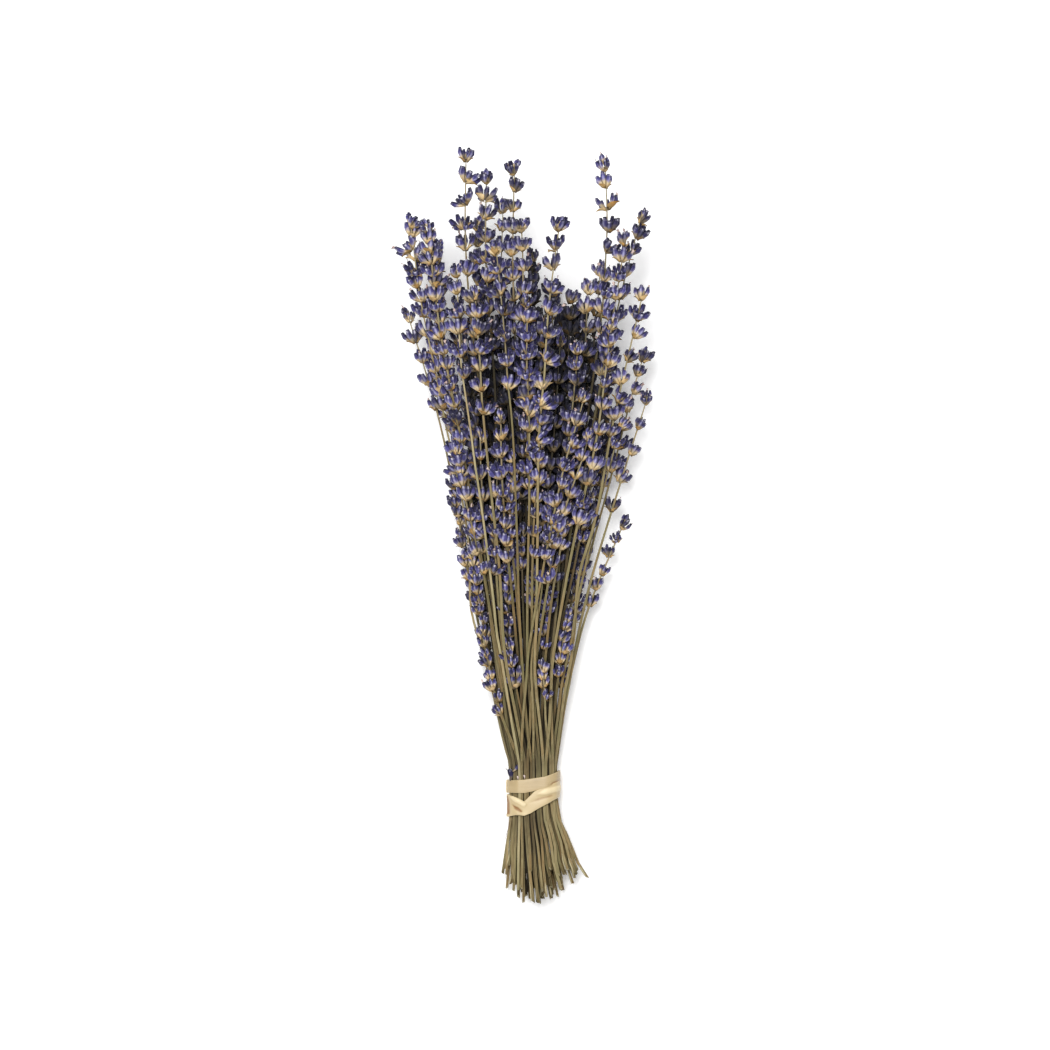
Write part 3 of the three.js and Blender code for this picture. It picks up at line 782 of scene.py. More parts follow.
def lofted(sides, stations, groove, material):
    """A tube of rings, each given by the matrix that places a unit ring and its share of the length."""
    bm = started()
    verts = bmesh.ops.create_circle(bm, cap_ends=True, segments=sides, radius=1)["verts"]
    rib = bm.verts.layers.float["rib"]
    for i, vert in enumerate(verts):
        vert[rib] = 1 - i % 2
        vert.co *= 1 if i % 2 == 0 else groove
    placed = stations[0][0]
    bmesh.ops.transform(bm, matrix=placed, verts=verts)
    edges = list(bm.edges)
    for matrix, share in stations[1:]:
        edges = next_ring(bm, edges, matrix @ placed.inverted(), share)
        placed = matrix
    bmesh.ops.contextual_create(bm, geom=edges)
    finish_faces(bm, material)
    return bm


def finish_faces(bm, material):
    bmesh.ops.recalc_face_normals(bm, faces=bm.faces)
    for face in bm.faces:
        face.smooth = True
        face.material_index = material


def kept(bm, name):
    mesh = bpy.data.meshes.new(name)
    bm.to_mesh(mesh)
    bm.free()
    return mesh


def add_made(bm, mesh, tone):
    """Moves a mesh, with its own tone, into a mesh that is being made."""
    mesh.attributes["tone"].data.foreach_set("value", [tone] * len(mesh.vertices))
    bm.from_mesh(mesh)
    bpy.data.meshes.remove(mesh)


def add_copy(bm, template, matrix, tone):
    copy = template.copy()
    copy.transform(matrix)
    add_made(bm, copy, tone)


STALK, CALYX, BRACT, PETAL = range(4)


def bud_template(name, sides, profile, bend, teeth):
    """A ribbed calyx on its base, bowed towards +X, with a small hollow mouth."""
    stations = []
    for share, radius in profile:
        out = bend * 4 * share * (1 - share)
        lean = math.degrees(math.atan(bend * 4 * (1 - 2 * share) / BUD_LENGTH))
        place = shifted(out, 0, share * BUD_LENGTH) @ turned(lean, "Y") @ sized(radius, radius, 1)
        stations.append((place, share))
    mouth = shifted(0, 0, MOUTH_DEPTH * BUD_LENGTH) @ sized(MOUTH_RADIUS, MOUTH_RADIUS, 1)
    bm = lofted(sides, stations + [(mouth, MOUTH_SHARE)], BUD_GROOVE, CALYX)
    along, rib = bm.verts.layers.float["along"], bm.verts.layers.float["rib"]
    for vert in bm.verts:
        if vert[along] == profile[-1][0]:
            vert.co.z += teeth * vert[rib]
        # The rib layer also follows the outward side, for the painted highlight there and the painted shade
        # on the inward side
        facing = vert.co.x / max(TINY, math.hypot(vert.co.x, vert.co.y))
        vert[rib] = mix(vert[rib], max(0, facing), OUTWARD_HIGHLIGHT_SHARE)
    return kept(bm, name)


def bract_template():
    """A papery bract: broad, pointed and hollowed towards the stem, rising along +Z and facing +X."""
    bm = started()
    bmesh.ops.create_grid(bm, x_segments=2, y_segments=4, size=1)
    along, rib = bm.verts.layers.float["along"], bm.verts.layers.float["rib"]
    for vert in bm.verts:
        side, share = vert.co.x, (vert.co.y + 1) / 2
        wave = min(BRACT_POINT, mix(BRACT_FOOT, 1, share**BRACT_POWER))
        width = BRACT_WIDTH * math.sin(math.pi * wave)
        out = BRACT_FLARE * share**3 - BRACT_CUP * side * side * (1 - BRACT_FLATTENING * share)
        vert.co = (out, side * width / 2, share * BRACT_LENGTH)
        vert[along] = share
        vert[rib] = 1 - abs(side)
    bmesh.ops.solidify(bm, geom=bm.faces, thickness=BRACT_THICKNESS)
    finish_faces(bm, BRACT)
    return kept(bm, "bract")


def withered_template(name, seed, profile, flatness, crumple):
    """What a withered flower leaves: a short tube, bent and crumpled."""
    rough = random.Random(seed)
    stations = []
    for share, radius in profile:
        lean_x, lean_y = rough.uniform(-PETAL_LEAN, PETAL_LEAN), rough.uniform(-PETAL_LEAN, PETAL_LEAN)
        bowed = shifted(rough.uniform(-PETAL_BOW, PETAL_BOW) * share, 0, share * PETAL_LENGTH)
        lean = turned(lean_x, "X") @ turned(lean_y, "Y")
        stations.append((bowed @ lean @ sized(radius, radius * flatness, 1), share))
    bm = lofted(PETAL_SIDES, stations, PETAL_GROOVE, PETAL)
    for vert in bm.verts:
        vert.co += Vector([rough.uniform(-1, 1) * crumple for _ in range(3)])
    return kept(bm, name)


def withered_templates(name, count, *shape):
    return [withered_template(f"{name}_{i}", i, *shape) for i in range(count)]


buds = [bud_template(f"bud_{i}", BUD_SIDES, *shape) for i, shape in enumerate(BUD_SHAPES)]
plain_buds = [bud_template(f"plain_bud_{i}", PLAIN_SIDES, *shape) for i, shape in enumerate(BUD_SHAPES)]
bract = bract_template()
petals = withered_templates("petal", *PETALS)
threads = withered_templates("thread", *THREADS)


# Flowering stems
def middle_at(course, y):
    """A stem's middle at a level."""
    return Vector((np.interp(y, levels, course[:, 0]), y, np.interp(y, levels, course[:, 1])))


def frame_at(course, y):
    """Places local +Z along the stem at a level, and local +X to the right."""
    along = (middle_at(course, y + STALK_AIM) - middle_at(course, y - STALK_AIM)).normalized()
    across = (Vector((1, 0, 0)) - along * along.x).normalized()
    matrix = Matrix([across, along.cross(across), along]).transposed().to_4x4()
    matrix.translation = middle_at(course, y)
    return matrix


def strayed(course, y, end, stray):
    """Places a ring of a stem at a level, where it fans out and its cut end strays from its solid."""
    share = share_of((STRAY_FROM, end), y) ** STRAY_POWER
    side = clamp((middle_at(course, y)[0] - BUNDLE_SIDE) / HALF_WIDTH, 0, 1)
    fanned = FAN * side * math.sin(math.pi * share_of(FAN_RUN, y))
    return shifted(stray[0] * share + fanned, 0, stray[1] * share) @ frame_at(course, y)


def slanted(rough):
    """The slant of a cut."""
    cut = Matrix.Identity(4)
    cut[2][0] = rough.uniform(-1, 1) * CUT_SLANT
    cut[2][1] = rough.uniform(-1, 1) * CUT_SLANT
    return cut


def squared(radius):
    """A unit ring made into one of a square stem, with its flat sides up and sideways."""
    return turned(45, "Z") @ sized(radius, radius, 1)


def cut_end(stem, rough):
    """The level of a stem's cut end, and how far it strays sideways and upwards from its solid."""
    (x, z), end = stem["seat"], stem["end"]
    if z > SHORTER_ROWS and rough.random() < SHORTER_SHARE:
        end += rough.uniform(*SHORTER)
    sideways, upward = rough.gauss(0, STRAY), abs(rough.gauss(0, STRAY_UP))
    if x > RIGHT_SEAT:
        sideways += rough.uniform(*RIGHT_STRAY)
        end += rough.uniform(*RIGHT_SHORTER)
    else:
        end += MIDDLE_SHORTER * clamp(x / RIGHT_SEAT, 0, 1)
    return end, (sideways, upward)


def stalk(stem, course, rough):
    """A square stem with rounded edges, from its slanting cut end to its tip, with its sliver if any."""
    tip = stem["tip"][1] - TIP_MARGIN
    end, stray = cut_end(stem, rough)
    count = round((tip - end) / STALK_STEP)
    thick = STEM_RADIUS * rough.uniform(*STALK_SIZES)
    cut = slanted(rough)
    stations = [(strayed(course, end, end, stray) @ (cut @ squared(thick * CUT_FACE)), 0)]
    for i in range(count + 1):
        y = mix(end, tip, i / count)
        share = clamp(y / tip, 0, 1)
        radius = thick * (1 - THINNING * share**THINNING_POWER) * rough.uniform(*STALK_UNEVENNESS)
        square = squared(radius) if i else cut @ squared(radius)
        stations.append((strayed(course, y, end, stray) @ square, max(share, SKIN_START)))
    bm = lofted(STALK_SIDES, stations, STALK_FLAT, STALK)
    if rough.random() < SLIVER_SHARE:
        add_sliver(bm, course, end, stray, thick, rough)
    return kept(bm, "stalk")


def add_sliver(bm, course, end, stray, thick, rough):
    """A strip of skin that peels off a stem near its cut end, on its upper side."""
    length, around = rough.uniform(*SLIVER_LENGTHS), rough.uniform(-SLIVER_TURN, SLIVER_TURN)
    stations = []
    for share in SLIVER_STATIONS:
        place = strayed(course, end + share * length, end, stray) @ turned(-90 + around, "Z")
        curled = shifted(thick + SLIVER_CURL * (1 - share) ** 2, 0, 0)
        width = SLIVER_WIDTH * math.sin(mix(*SLIVER_ARC, share))
        stations.append((place @ curled @ sized(SLIVER_THICKNESS, width, 1), 0))
    add_made(bm, kept(lofted(SLIVER_SIDES, stations, 1, STALK), "sliver"), 1)


def fullness(radius):
    """How a whorl's radius compares, from 0 for the smallest to 1 for the widest."""
    return share_of((SMALL_WHORL, WIDEST_WHORL), radius)


def bud_size(radius):
    return mix(SMALL_BUD, 1, fullness(radius))


def bud_tilt(radius, size):
    """How far a bud leans out, in degrees, for its tip to reach a radius."""
    reach = max(LEAST_REACH, radius - BUD_ROOT - BUD_OVERHANG * size)
    return math.degrees(math.asin(clamp(reach / (BUD_LENGTH * size), 0, STEEPEST)))


def add_ring(bm, place, shapes, count, radius, angle, tones, rough):
    """A ring of buds round the stem, with their tips at a radius."""
    dropped = row_value(DROPPED_SHARES, place.translation.y)
    for i in range(count):
        if rough.random() < dropped:
            continue
        size = bud_size(radius) * rough.uniform(*BUD_SIZES)
        around = math.degrees(angle) + (i + rough.uniform(-BUD_UNEVENNESS, BUD_UNEVENNESS)) * 360 / count
        bud = (
            place
            @ turned(around, "Z")
            @ shifted(BUD_ROOT, 0, rough.uniform(*BUD_RISES))
            @ turned(bud_tilt(radius, size) + rough.uniform(*BUD_LEANS), "Y")
            @ sized(size, size * rough.uniform(*BUD_WIDTHS), size)
        )
        add_copy(bm, rough.choice(shapes), bud, clamp(rough.gauss(tones, BUD_TONE_SPREAD), 0, 1))
        add_withered(bm, bud, rough)


def add_withered(bm, bud, rough):
    """Here and there a withered petal or a bare thread in the mouth of a bud."""
    mouth = bud @ shifted(0, 0, BUD_LENGTH * WITHERED_AT) @ turned(rough.uniform(0, 360), "Z")
    fate = rough.random()
    if fate < WITHERED_SHARE:
        add_copy(bm, rough.choice(petals), mouth, rough.uniform(*PETAL_TONES))
    elif fate < 2 * WITHERED_SHARE:
        add_copy(bm, rough.choice(threads), mouth, rough.uniform(*THREAD_TONES))


def add_bracts(bm, place, radius, angle, rough):
    """Two papery bracts under a whorl, one on each side of the stem."""
    for side in (0, 180):
        size = radius / WIDEST_WHORL * rough.uniform(*BRACT_SIZES)
        around = math.degrees(angle) + side + rough.uniform(-BRACT_TURN, BRACT_TURN)
        lean = bud_tilt(radius, bud_size(radius)) + rough.uniform(*BRACT_LEANS)
        fit = place @ turned(around, "Z") @ shifted(BRACT_ROOT, 0, -BRACT_DROP) @ turned(lean, "Y")
        add_copy(bm, bract, fit @ sized(size, size, size), rough.random())


def leaning(rough):
    """The lean of a whorl."""
    return turned(rough.gauss(0, WHORL_LEAN), "X") @ turned(rough.gauss(0, WHORL_LEAN), "Y")


def add_whorl(bm, course, whorl, shapes, tones, rough):
    """The buds of one whorl, with its two bracts."""
    base, _, radius, angle = whorl
    least = min(row_value(LEAST_WHORLS, base), radius * LEAST_SHARE)
    radius = clamp(radius * rough.uniform(*WHORL_SIZES), least, row_value(MOST_WHORLS, base))
    x, y, z = [rough.gauss(0, WHORL_STRAY) for _ in range(3)]
    place = frame_at(course, base) @ shifted(x, y, z - WHORL_SINK) @ leaning(rough)
    tones = rough.gauss(tones, WHORL_TONE_SPREAD) - row_value(DARKER_TONES, base)
    tones = clamp(tones, *WHORL_TONES)
    outer = round(mix(FEWEST_BUDS, OUTER_BUDS, fullness(radius)))
    opened = radius * rough.uniform(*WHORL_OPENING) * row_value(WIDER_OPENINGS, base)
    add_ring(bm, place, shapes, outer, opened, angle, tones, rough)
    if shapes is buds:
        inner, reach = place @ shifted(0, 0, INNER_LIFT), radius * INNER_REACH
        add_ring(bm, inner, plain_buds, INNER_BUDS, reach, angle + INNER_TURN, tones, rough)
    add_bracts(bm, place, opened, angle, rough)


def add_tuft(bm, course, whorl, tones, rough):
    """The upright buds at the very tip of a spike."""
    base, _, radius, angle = whorl
    place = frame_at(course, base) @ shifted(0, 0, TUFT_LIFT) @ leaning(rough)
    add_ring(bm, place, buds, TUFT_BUDS, radius * TUFT_REACH, angle + TUFT_TURN, tones, rough)


def spaced_whorls(low, tip, spacing, angle):
    return whorls_of(low, tip, round((tip - CROWN_HEIGHT - low) / spacing) + 1, angle)


def swollen(whorls, share):
    """The same whorls, wider or narrower by a share."""
    return [(base, height, radius * share, angle) for base, height, radius, angle in whorls]


def whorls_to_show(stem, rough):
    """The whorls of a stem's solid, or a denser spike where the stem is short or inside the bunch."""
    whorls = stem["whorls"]
    base, height, radius, angle = whorls[0]
    tip, side = stem["tip"], stem["low"][0]
    if stem["hold"] == HIDDEN_HOLD:
        inner = spaced_whorls(base - INNER_EXTENSION, tip[1], INNER_SPACING, angle)
        return swollen(inner, mix(INNER_SWELL, 1, abs(stem["foot"]) / HALF_WIDTH))
    if tip[0] < FREE_LEFT or (tip[0] > FREE_RIGHT and tip[1] < FREE_LEVEL):
        return swollen(whorls, SHORT_SWELL if tip[1] < SHORT_SPIKE else 1)
    if tip[1] < SHORT_SPIKE:
        swell = SHORT_SWELL if abs(side) > SHORT_SIDE else 1
        return swollen(spaced_whorls(base, tip[1], SHORT_SPACING, angle), swell)
    if BARE_SIDE[0] < side < BARE_SIDE[1] and BARE_LEVEL[0] < base < BARE_LEVEL[1]:
        return whorls
    if tip[0] < DENSE_SIDE:
        whorls = spaced_whorls(base, tip[1], DENSE_SPACING, angle)
    most = next(count for right, count in EXTRA_MOST if side < right)
    extra = []
    while len(extra) < most and base > EXTRA_LOWEST:
        base -= rough.uniform(*EXTRA_SPACING)
        angle += EXTRA_TURN
        extra.append((base, height, radius, angle))
    return extra[::-1] + whorls


def stalk_tone_and_shade(stem, rough):
    """How light a stem is: painted shade makes those inside the bundle darker than the outer ones, with a
    random spread.
    """
    x, z = stem["seat"]
    outer = clamp(math.hypot((x - BUNDLE_SIDE) / HALF_WIDTH, (z - BUNDLE_CENTRE) / HALF_HEIGHT), 0, 1)
    return clamp(outer**STALK_SHADE_POWER * rough.uniform(*STALK_TONE_SPREAD), 0, 1)


def flowering_stems(number, materials):
    """A pair of stems that stands for one node of the solids."""
    rough = random.Random(FLOWER_SEED + number)
    bm = started()
    for i in (2 * number, 2 * number + 1):
        stem, course = stems[i], courses[i]
        add_made(bm, stalk(stem, course, rough), stalk_tone_and_shade(stem, rough))
        # The low and hidden stems get darker tones, as painted shade
        shapes, tones = buds, SHOWN_TONE if stem["depth"] > LOW_DEPTH else SHADED_LOW_TONE
        if stem["hold"] == HIDDEN_HOLD:
            shapes, tones = plain_buds, SHADED_HIDDEN_TONE
        whorls = whorls_to_show(stem, rough)
        for whorl in whorls:
            add_whorl(bm, course, whorl, shapes, tones, rough)
        if shapes is buds:
            add_tuft(bm, course, whorls[-1], tones, rough)
    press_up(bm)
    mark_outside(bm)
    name = f"{number + 1:02d}"
    piece = finished(bm, f"flowers_{name}", materials)
    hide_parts(f"stems_{name}")


def press_up(bm):
    """Presses what would dip into the floor up onto it."""
    for vert in bm.verts:
        if vert.co.z < PRESSED_BELOW:
            vert.co.z = PRESSED_BELOW - PRESSED_LEAST * math.tanh((PRESSED_BELOW - vert.co.z) / PRESSED_LEAST)


def mark_outside(bm):
    """Keeps at each corner how near it is to the outline of the bunch, and so how much painted shade it gets.
    """
    outside = bm.verts.layers.float["outside"]
    for vert in bm.verts:
        x, y, z = vert.co
        across = (x - LEAN - bow(y)) / half_width(y)
        up = (z - middle_height(y)) / half_height(y)
        open_top = OPEN_TOP_SHARE * share_of(OPEN_TOP, y) ** 2
        open_cut = OPEN_CUT_SHARE * share_of(OPEN_CUT, y)
        vert[outside] = math.hypot(across, up) + open_top + open_cut


def added(name, data):
    """Adds an object that holds a mesh, a lamp or a camera to the scene."""
    holder = bpy.data.objects.new(name, data)
    bpy.context.scene.collection.objects.link(holder)
    return holder


def finished(bm, name, materials):
    """Turns a mesh in millimetres into a piece in metres that rides with the bunch."""
    bmesh.ops.scale(bm, vec=(METRE,) * 3, verts=bm.verts)
    piece = added(name, kept(bm, name))
    for material in materials:
        piece.data.materials.append(material)
    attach(piece, "root")
    return piece


# Rubber band
def bundle_outline():
    """The corners of the bundle's outline at the band, in order from the left over the top."""
    half = STEM_RADIUS * math.sqrt(0.5)
    sides = [(a, b) for a in (-half, half) for b in (-half, half)]
    corners = sorted((stem["seat"][0] + a, stem["seat"][1] + b) for stem in stems for a, b in sides)

    def side(points):
        chain = []
        for point in points:
            while len(chain) > 1 and not outward(chain[-2], chain[-1], point):
                chain.pop()
            chain.append(point)
        return chain[:-1]

    return side(corners) + side(corners[::-1])


def outward(a, b, c):
    return (b[0] - a[0]) * (c[1] - a[1]) - (b[1] - a[1]) * (c[0] - a[0]) < -TINY


def band_places():
    """Places round the bundle where the band lies, and the way it faces there."""
    outline = bundle_outline()
    facing = math.pi
    places = [(*outline[0], facing)]
    for i, (x, z) in enumerate(outline):
        corner, after = outline[(i + 1) % len(outline)], outline[(i + 2) % len(outline)]
        steps = math.ceil(math.dist((x, z), corner) / BAND_STEP)
        for k in range(1, steps + 1):
            places.append((mix(x, corner[0], k / steps), mix(z, corner[1], k / steps), facing))
        turn = (facing - math.atan2(after[0] - corner[0], corner[1] - after[1])) % (2 * math.pi)
        turns = max(1, round(turn / BAND_TURN))
        for k in range(1, turns + 1):
            places.append((*corner, facing - turn * k / turns))
        facing -= turn
    return evened(places)


def evened(places):
    """The same places with their corners rounded a little, closing on themselves as before."""
    rows = np.array(places[:-1])
    for _ in range(BAND_SMOOTHING):
        before, after = np.roll(rows, 1, axis=0), np.roll(rows, -1, axis=0)
        before[0, 2] += 2 * math.pi
        after[-1, 2] -= 2 * math.pi
        rows = (before + 2 * rows + after) / 4
    closing = (rows[0, 0], rows[0, 1], rows[0, 2] - 2 * math.pi)
    return [tuple(row) for row in rows] + [closing]


def band_point(place, side, out, turn):
    """A point of the band: side runs from 0 at its upper edge to 1 at its lower one."""
    x, z, facing = place
    front, under, lift_front, lift_under, ridges = turn
    above = facing > 0
    rows = front if above else under
    y = mix(row_value(rows, x), row_value(rows, x, 2), side)
    off = BAND_GAP + BAND_EASE + row_value(lift_front if above else lift_under, x) + out
    raised = sum(ridge_height((x, y), *ridge) for ridge in ridges) if above else 0
    off += raised
    return (x + off * math.cos(facing), y, z + off * math.sin(facing)), raised


def ridge_height(point, start, stop, height, width):
    """How far a ridge, low and narrow at its start, lifts the band at a point."""
    run = np.subtract(stop, start)
    share = clamp(np.dot(np.subtract(point, start), run) / np.dot(run, run), 0, 1)
    away = float(np.linalg.norm(np.subtract(point, start) - run * share))
    taper = mix(RIDGE_START, 1, min(1, RIDGE_RISE * share))
    return height * taper * math.exp(-((away / (width * taper)) ** 2))


def add_band_turn(bm, places, turn, tone):
    """One turn of the band, its lap a little past the full turn."""
    strip = started()
    along, rib = strip.verts.layers.float["along"], strip.verts.layers.float["rib"]
    columns = len(places)
    bmesh.ops.create_grid(strip, x_segments=columns - 1, y_segments=BAND_STRIPS, size=0.5)
    for vert in strip.verts:
        place = places[round((vert.co.x + 0.5) * (columns - 1))]
        side = vert.co.y + 0.5
        edge = abs(2 * side - 1) ** BAND_EDGE_POWER * BAND_EDGE
        vert.co, raised = band_point(place, side, BAND_THICKNESS / 2 - edge, turn)
        vert[along] = side
        vert[rib] = raised
    bmesh.ops.recalc_face_normals(strip, faces=strip.faces)
    bmesh.ops.solidify(strip, geom=strip.faces, thickness=BAND_DEPTH)
    finish_faces(strip, 0)
    add_made(bm, kept(strip, "turn"), tone)


def rubber_band(material):
    """The band, its second turn paler than its first."""
    places = band_places()
    places.append((*places[1][:2], -math.pi))
    bm = started()
    add_band_turn(bm, places, (FIRST_FRONT, FIRST_UNDER, LIFT_FRONT, LIFT_UNDER, FIRST_RIDGES), 0)
    add_band_turn(bm, places, (SECOND_FRONT, SECOND_UNDER, NO_LIFT, NO_LIFT, SECOND_RIDGES), 1)
    piece = finished(bm, "rubber_band", [material])
    bevel = piece.modifiers.new("rounded_edges", "BEVEL")
    bevel.width = BAND_ROUNDING * METRE
    bevel.segments = BAND_ROUNDING_STEPS
    bevel.limit_method = "ANGLE"
    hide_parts("tie_band")


# The buds that have fallen against the band, and the petals and fine fibres by them
def top_of_bundle(x):
    """The height of the uppermost stems in the bundle at a place across it."""
    return max(stem["seat"][1] for stem in stems if abs(stem["seat"][0] - x) < MATE_PITCH) + STEM_RADIUS


def fibre(start, run, seed):
    """A fine fibre that rises and bends away from a point."""
    rough = random.Random(seed)
    stations = []
    for i in range(FIBRE_STEPS + 1):
        share = i / FIBRE_STEPS
        bend = rough.uniform(-FIBRE_BEND, FIBRE_BEND)
        reach = (run[0] * share, run[1] * share + bend, FIBRE_RISE * share * (2 - share))
        place = shifted(*start) @ shifted(*reach) @ turned(-90, "X")
        stations.append((place @ sized(FIBRE_RADIUS, FIBRE_RADIUS, 1), share))
    return kept(lofted(FIBRE_SIDES, stations, 1, PETAL), "fibre")


def fallen_bits(materials):
    """The fallen buds, petals and fibres, in one piece."""
    bm = started()
    for (x, y), turn, size, tone in FALLEN_BUDS:
        place = shifted(x, y, top_of_bundle(x) + FALLEN_LIFT) @ turned(turn, "Z")
        lying = place @ turned(FALLEN_TIP, "X") @ sized(size, size, size * FALLEN_SQUASH)
        add_copy(bm, buds[0], lying, tone)
    for petal, (x, y) in zip(petals, FALLEN_PETALS):
        place = shifted(x, y, top_of_bundle(x) + FALLEN_LIFT / 2)
        lying = place @ turned(FALLEN_PETAL_TIP, "X") @ sized(*(FALLEN_PETAL_SIZE,) * 3)
        add_copy(bm, petal, lying, FALLEN_PETAL_TONE)
    for i, ((x, y), run) in enumerate(FIBRES):
        add_made(bm, fibre((x, y, top_of_bundle(x)), run, i), FIBRE_TONE)
    mark_outside(bm)
    finished(bm, "fallen_bud", materials)


# Materials
class Finish:
    """A material's nodes, made one by one, and the measures that they read by name."""

    def __init__(self, name, noises):
        self.material = bpy.data.materials.new(name)
        self.material.use_nodes = True
        self.tree = self.material.node_tree
        self.place = self.node("TexCoord", {}).outputs["Object"]
        self.noises = noises
        self.measures = {}

    def node(self, kind, inputs, **settings):
        """A new node with its settings and inputs."""
        made = self.tree.nodes.new("ShaderNode" + kind)
        for name, value in settings.items():
            setattr(made, name, value)
        for name, value in inputs.items():
            self.give(made.inputs[name], value)
        return made

    def measure(self, name):
        """A noise of this finish or a layer of the mesh, made where it is first read."""
        if name not in self.measures:
            made = self.noise(*self.noises[name]) if name in self.noises else self.layer(name)
            self.measures[name] = made
        return self.measures[name]

    def give(self, socket, value):
        """Sets a socket to a measure, by name, to another node's output or to a plain value."""
        value = self.measure(value) if isinstance(value, str) else value
        if isinstance(value, bpy.types.NodeSocket):
            self.tree.links.new(value, socket)
        else:
            socket.default_value = value

    def layer(self, name):
        return self.node("Attribute", {}, attribute_name=name).outputs["Fac"]

    def noise(self, scale, detail=3, rough=0.55, stretch=(1, 1, 1)):
        place = self.node("Mapping", dict(Vector=self.place, Scale=stretch)).outputs["Vector"]
        inputs = dict(Vector=place, Scale=scale, Detail=detail, Roughness=rough)
        return self.node("TexNoise", inputs).outputs["Fac"]

    def maths(self, kind, a, b=0.0, c=0.0):
        return self.node("Math", {0: a, 1: b, 2: c}, operation=kind).outputs[0]

    def sum_of(self, a, share_a, b, share_b):
        """Two measures, each by its share."""
        return self.maths("MULTIPLY_ADD", a, share_a, self.maths("MULTIPLY", b, share_b))

    def span(self, value, low, high, start=0.0, stop=1.0):
        """The value's run from low to high, smoothly from start to stop."""
        inputs = {"Value": value, "From Min": low, "From Max": high, "To Min": start, "To Max": stop}
        return self.node("MapRange", inputs, interpolation_type="SMOOTHSTEP").outputs["Result"]

    def blend(self, share, colour, tint):
        inputs = {0: share, MIX_A: colour, MIX_B: linear(tint)}
        return self.node("Mix", inputs, data_type="RGBA").outputs[MIX_RESULT]

    def ramp(self, value, stops):
        node = self.node("ValToRGB", dict(Fac=value))
        elements = node.color_ramp.elements
        while len(elements) < len(stops):
            elements.new(0.5)
        for element, (place, colour) in zip(elements, stops):
            element.position = place
            element.color = linear(colour)
        return node.outputs["Color"]

    def tinted(self, colour, tints):
        """The colour under each tint in turn, as strong as the product of its spans."""
        for tint, *spans in tints:
            share = self.span(*spans[0])
            for span in spans[1:]:
                share = self.maths("MULTIPLY", share, self.span(*span))
            colour = self.blend(share, colour, tint)
        return colour

    def shaded(self, colour, dark, most):
        """The colour with painted shade, darker inside the bunch."""
        return self.blend(self.span("outside", FULL_SHADE_INSIDE, NO_SHADE_OUTSIDE, most, 0.0), colour, dark)

    def done(self, colour, roughness, relief, depth, **others):
        """Joins the colour, the roughness and the relief, in millimetres, to the shader."""
        bump = self.node("Bump", dict(Height=relief, Distance=depth * METRE))
        inputs = dict(Base_Color=colour, Roughness=roughness, Normal=bump.outputs["Normal"], **others)
        for name, value in inputs.items():
            self.give(self.tree.nodes["Principled BSDF"].inputs[name.replace("_", " ")], value)
        return self.material


def calyx_finish():
    """Dried calyces: tan at the base, navy to purple above, with pale ribs and downy tips; a painted
    highlight down the outward side of each bud, and painted shade in grooves, mouths, low and hidden spikes
    and inside the bunch.
    """
    f = Finish("dried_calyx", CALYX_NOISES)
    f.measures["height"] = f.maths("ADD", "along", f.maths("MULTIPLY_ADD", "patches", 0.5, -0.25))
    colour = f.tinted(f.ramp("height", CALYX_COLOURS), CALYX_TINTS)
    colour = f.shaded(colour, "06050c", 0.9)
    relief = f.sum_of("rib", 0.5, "down", 0.5)
    roughness = f.span("patches", 0.3, 0.7, 0.6, 0.85)
    return f.done(colour, roughness, relief, 0.2, Specular_IOR_Level=0.34, Sheen_Weight=0.05)


def stalk_finish():
    """Dry stems: olive tan, streaked, paler towards the heads, with painted highlights on edges and painted
    shade inside the bunch, not on cut faces.
    """
    f = Finish("dry_stem", STALK_NOISES)
    colour = f.ramp(f.sum_of("streaks", 0.55, "tone", 0.45), STALK_COLOURS)
    colour = f.shaded(f.tinted(colour, STALK_TINTS), "211b12", 0.9)
    colour = f.tinted(colour, CUT_TINTS)
    relief = f.sum_of("rib", 0.4, "streaks", 1.0)
    return f.done(colour, f.span("streaks", 0.3, 0.7, 0.65, 0.85), relief, 0.3, Specular_IOR_Level=0.3)


def bract_finish():
    """Papery bracts: tan to rust, veined along their length, with painted shade inside the bunch."""
    f = Finish("papery_bract", BRACT_NOISES)
    colour = f.ramp(f.sum_of("veins", 0.5, "tone", 0.5), BRACT_COLOURS)
    colour = f.shaded(f.tinted(colour, BRACT_TINTS), "1c140c", 0.85)
    return f.done(colour, f.span("veins", 0.3, 0.7, 0.6, 0.8), "veins", 0.2, Specular_IOR_Level=0.3)


def petal_finish():
    """Withered flowers: dull pink to beige, or brown where only threads are left."""
    f = Finish("withered_petal", PETAL_NOISES)
    colour = f.ramp(f.sum_of("creases", 0.4, "tone", 0.6), PETAL_COLOURS)
    return f.done(colour, f.span("creases", 0.3, 0.7, 0.7, 0.9), "creases", 0.3)


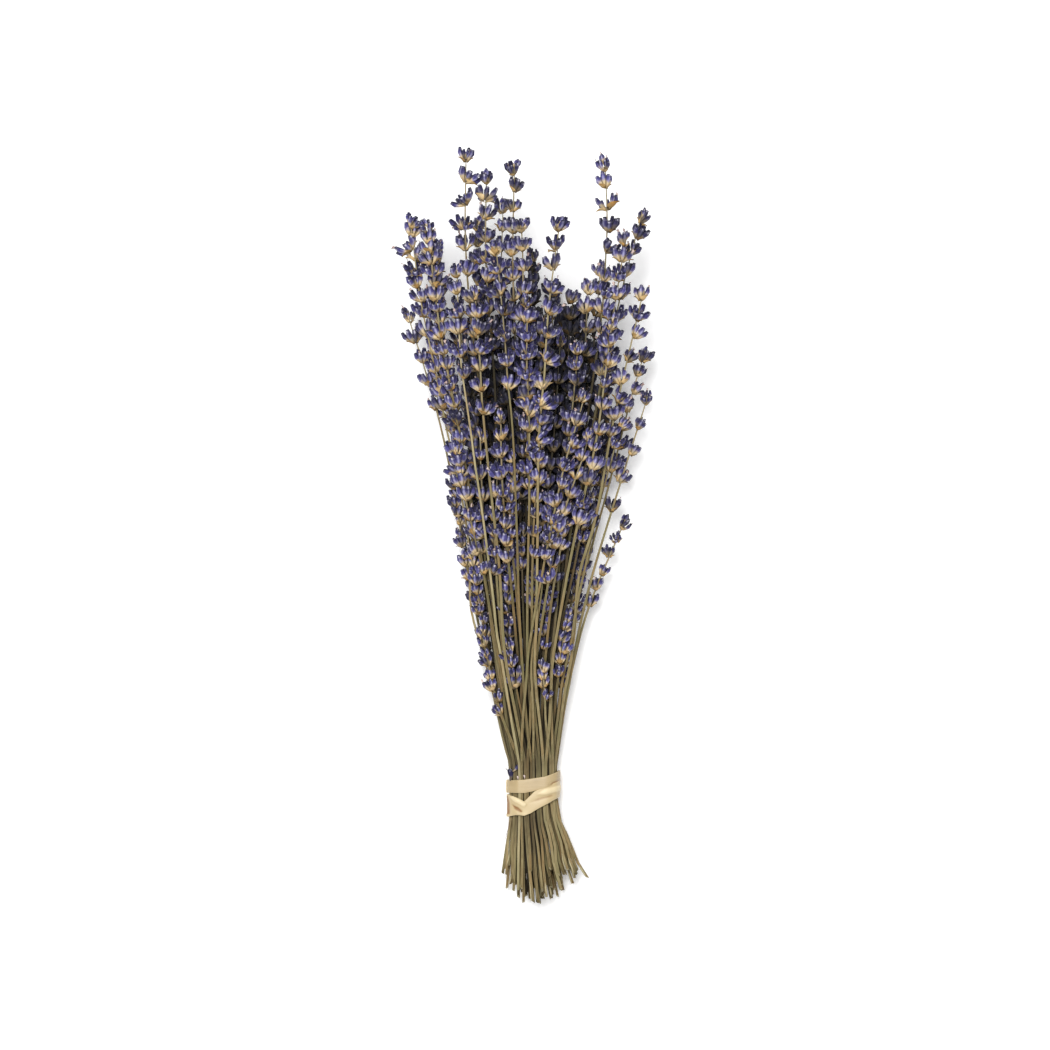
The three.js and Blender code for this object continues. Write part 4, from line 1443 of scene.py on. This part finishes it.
def rubber_finish():
    """Natural rubber: satin beige with a fine grain, painted highlights on ridges and edges, and painted
    shade in creases.
    """
    f = Finish("natural_rubber", RUBBER_NOISES)
    f.measures["edge"] = f.maths("ABSOLUTE", f.maths("SUBTRACT", "along", 0.5))
    colour = f.ramp(f.sum_of("grain", 0.3, "clouds", 0.7), RUBBER_COLOURS)
    colour = f.tinted(colour, RUBBER_TINTS)
    return f.done(colour, f.span("clouds", 0.3, 0.7, 0.4, 0.55), "grain", 0.05)


def floor_finish():
    """A pale table that glows faintly, so that the shadow on it stays weak."""
    f = Finish("pale_floor", FLOOR_NOISES)
    return f.done(f.ramp("clouds", FLOOR_COLOURS), 0.9, "grain", 0.01, Emission_Strength=FLOOR_GLOW)


# The bunch
flower_finishes = [stalk_finish(), calyx_finish(), bract_finish(), petal_finish()]
for pair in range(sum(ROW_PAIRS)):
    flowering_stems(pair, flower_finishes)
rubber_band(rubber_finish())
fallen_bits(flower_finishes)


# Floor, lights and camera
def floor():
    bm = bmesh.new()
    bmesh.ops.create_grid(bm, x_segments=1, y_segments=1, size=FLOOR_SIZE)
    bmesh.ops.translate(bm, vec=(0, 0, FLOOR_LEVEL), verts=bm.verts)
    piece = added("pale_floor", kept(bm, "pale_floor"))
    piece.data.materials.append(floor_finish())


def soft_light(name, place, aim, size, power):
    """A square lamp at a place, turned towards a point."""
    lamp = bpy.data.lights.new(name, "AREA")
    lamp.size = size
    lamp.energy = power
    holder = added(name, lamp)
    holder.location = place
    holder.rotation_euler = (Vector(aim) - Vector(place)).to_track_quat("-Z", "Y").to_euler()


def surroundings(brightness):
    world = bpy.data.worlds.new("white_surroundings")
    world.use_nodes = True
    world.node_tree.nodes["Background"].inputs["Color"].default_value = (1, 1, 1, 1)
    world.node_tree.nodes["Background"].inputs["Strength"].default_value = brightness
    bpy.context.scene.world = world


def camera():
    lens = bpy.data.cameras.new("above")
    lens.lens = LENS
    lens.sensor_width = SENSOR
    lens.clip_end = CLIP_END
    holder = added("above", lens)
    height = FRAME_HEIGHT + LENS / SENSOR * FRAME_WIDTH
    holder.location = (FRAME_CENTRE[0] * METRE, FRAME_CENTRE[1] * METRE, height * METRE)
    bpy.context.scene.camera = holder


floor()
for lamp in LAMPS:
    soft_light(*lamp)
surroundings(WORLD_BRIGHTNESS)
camera()
bpy.context.scene.view_settings.view_transform = "Standard"
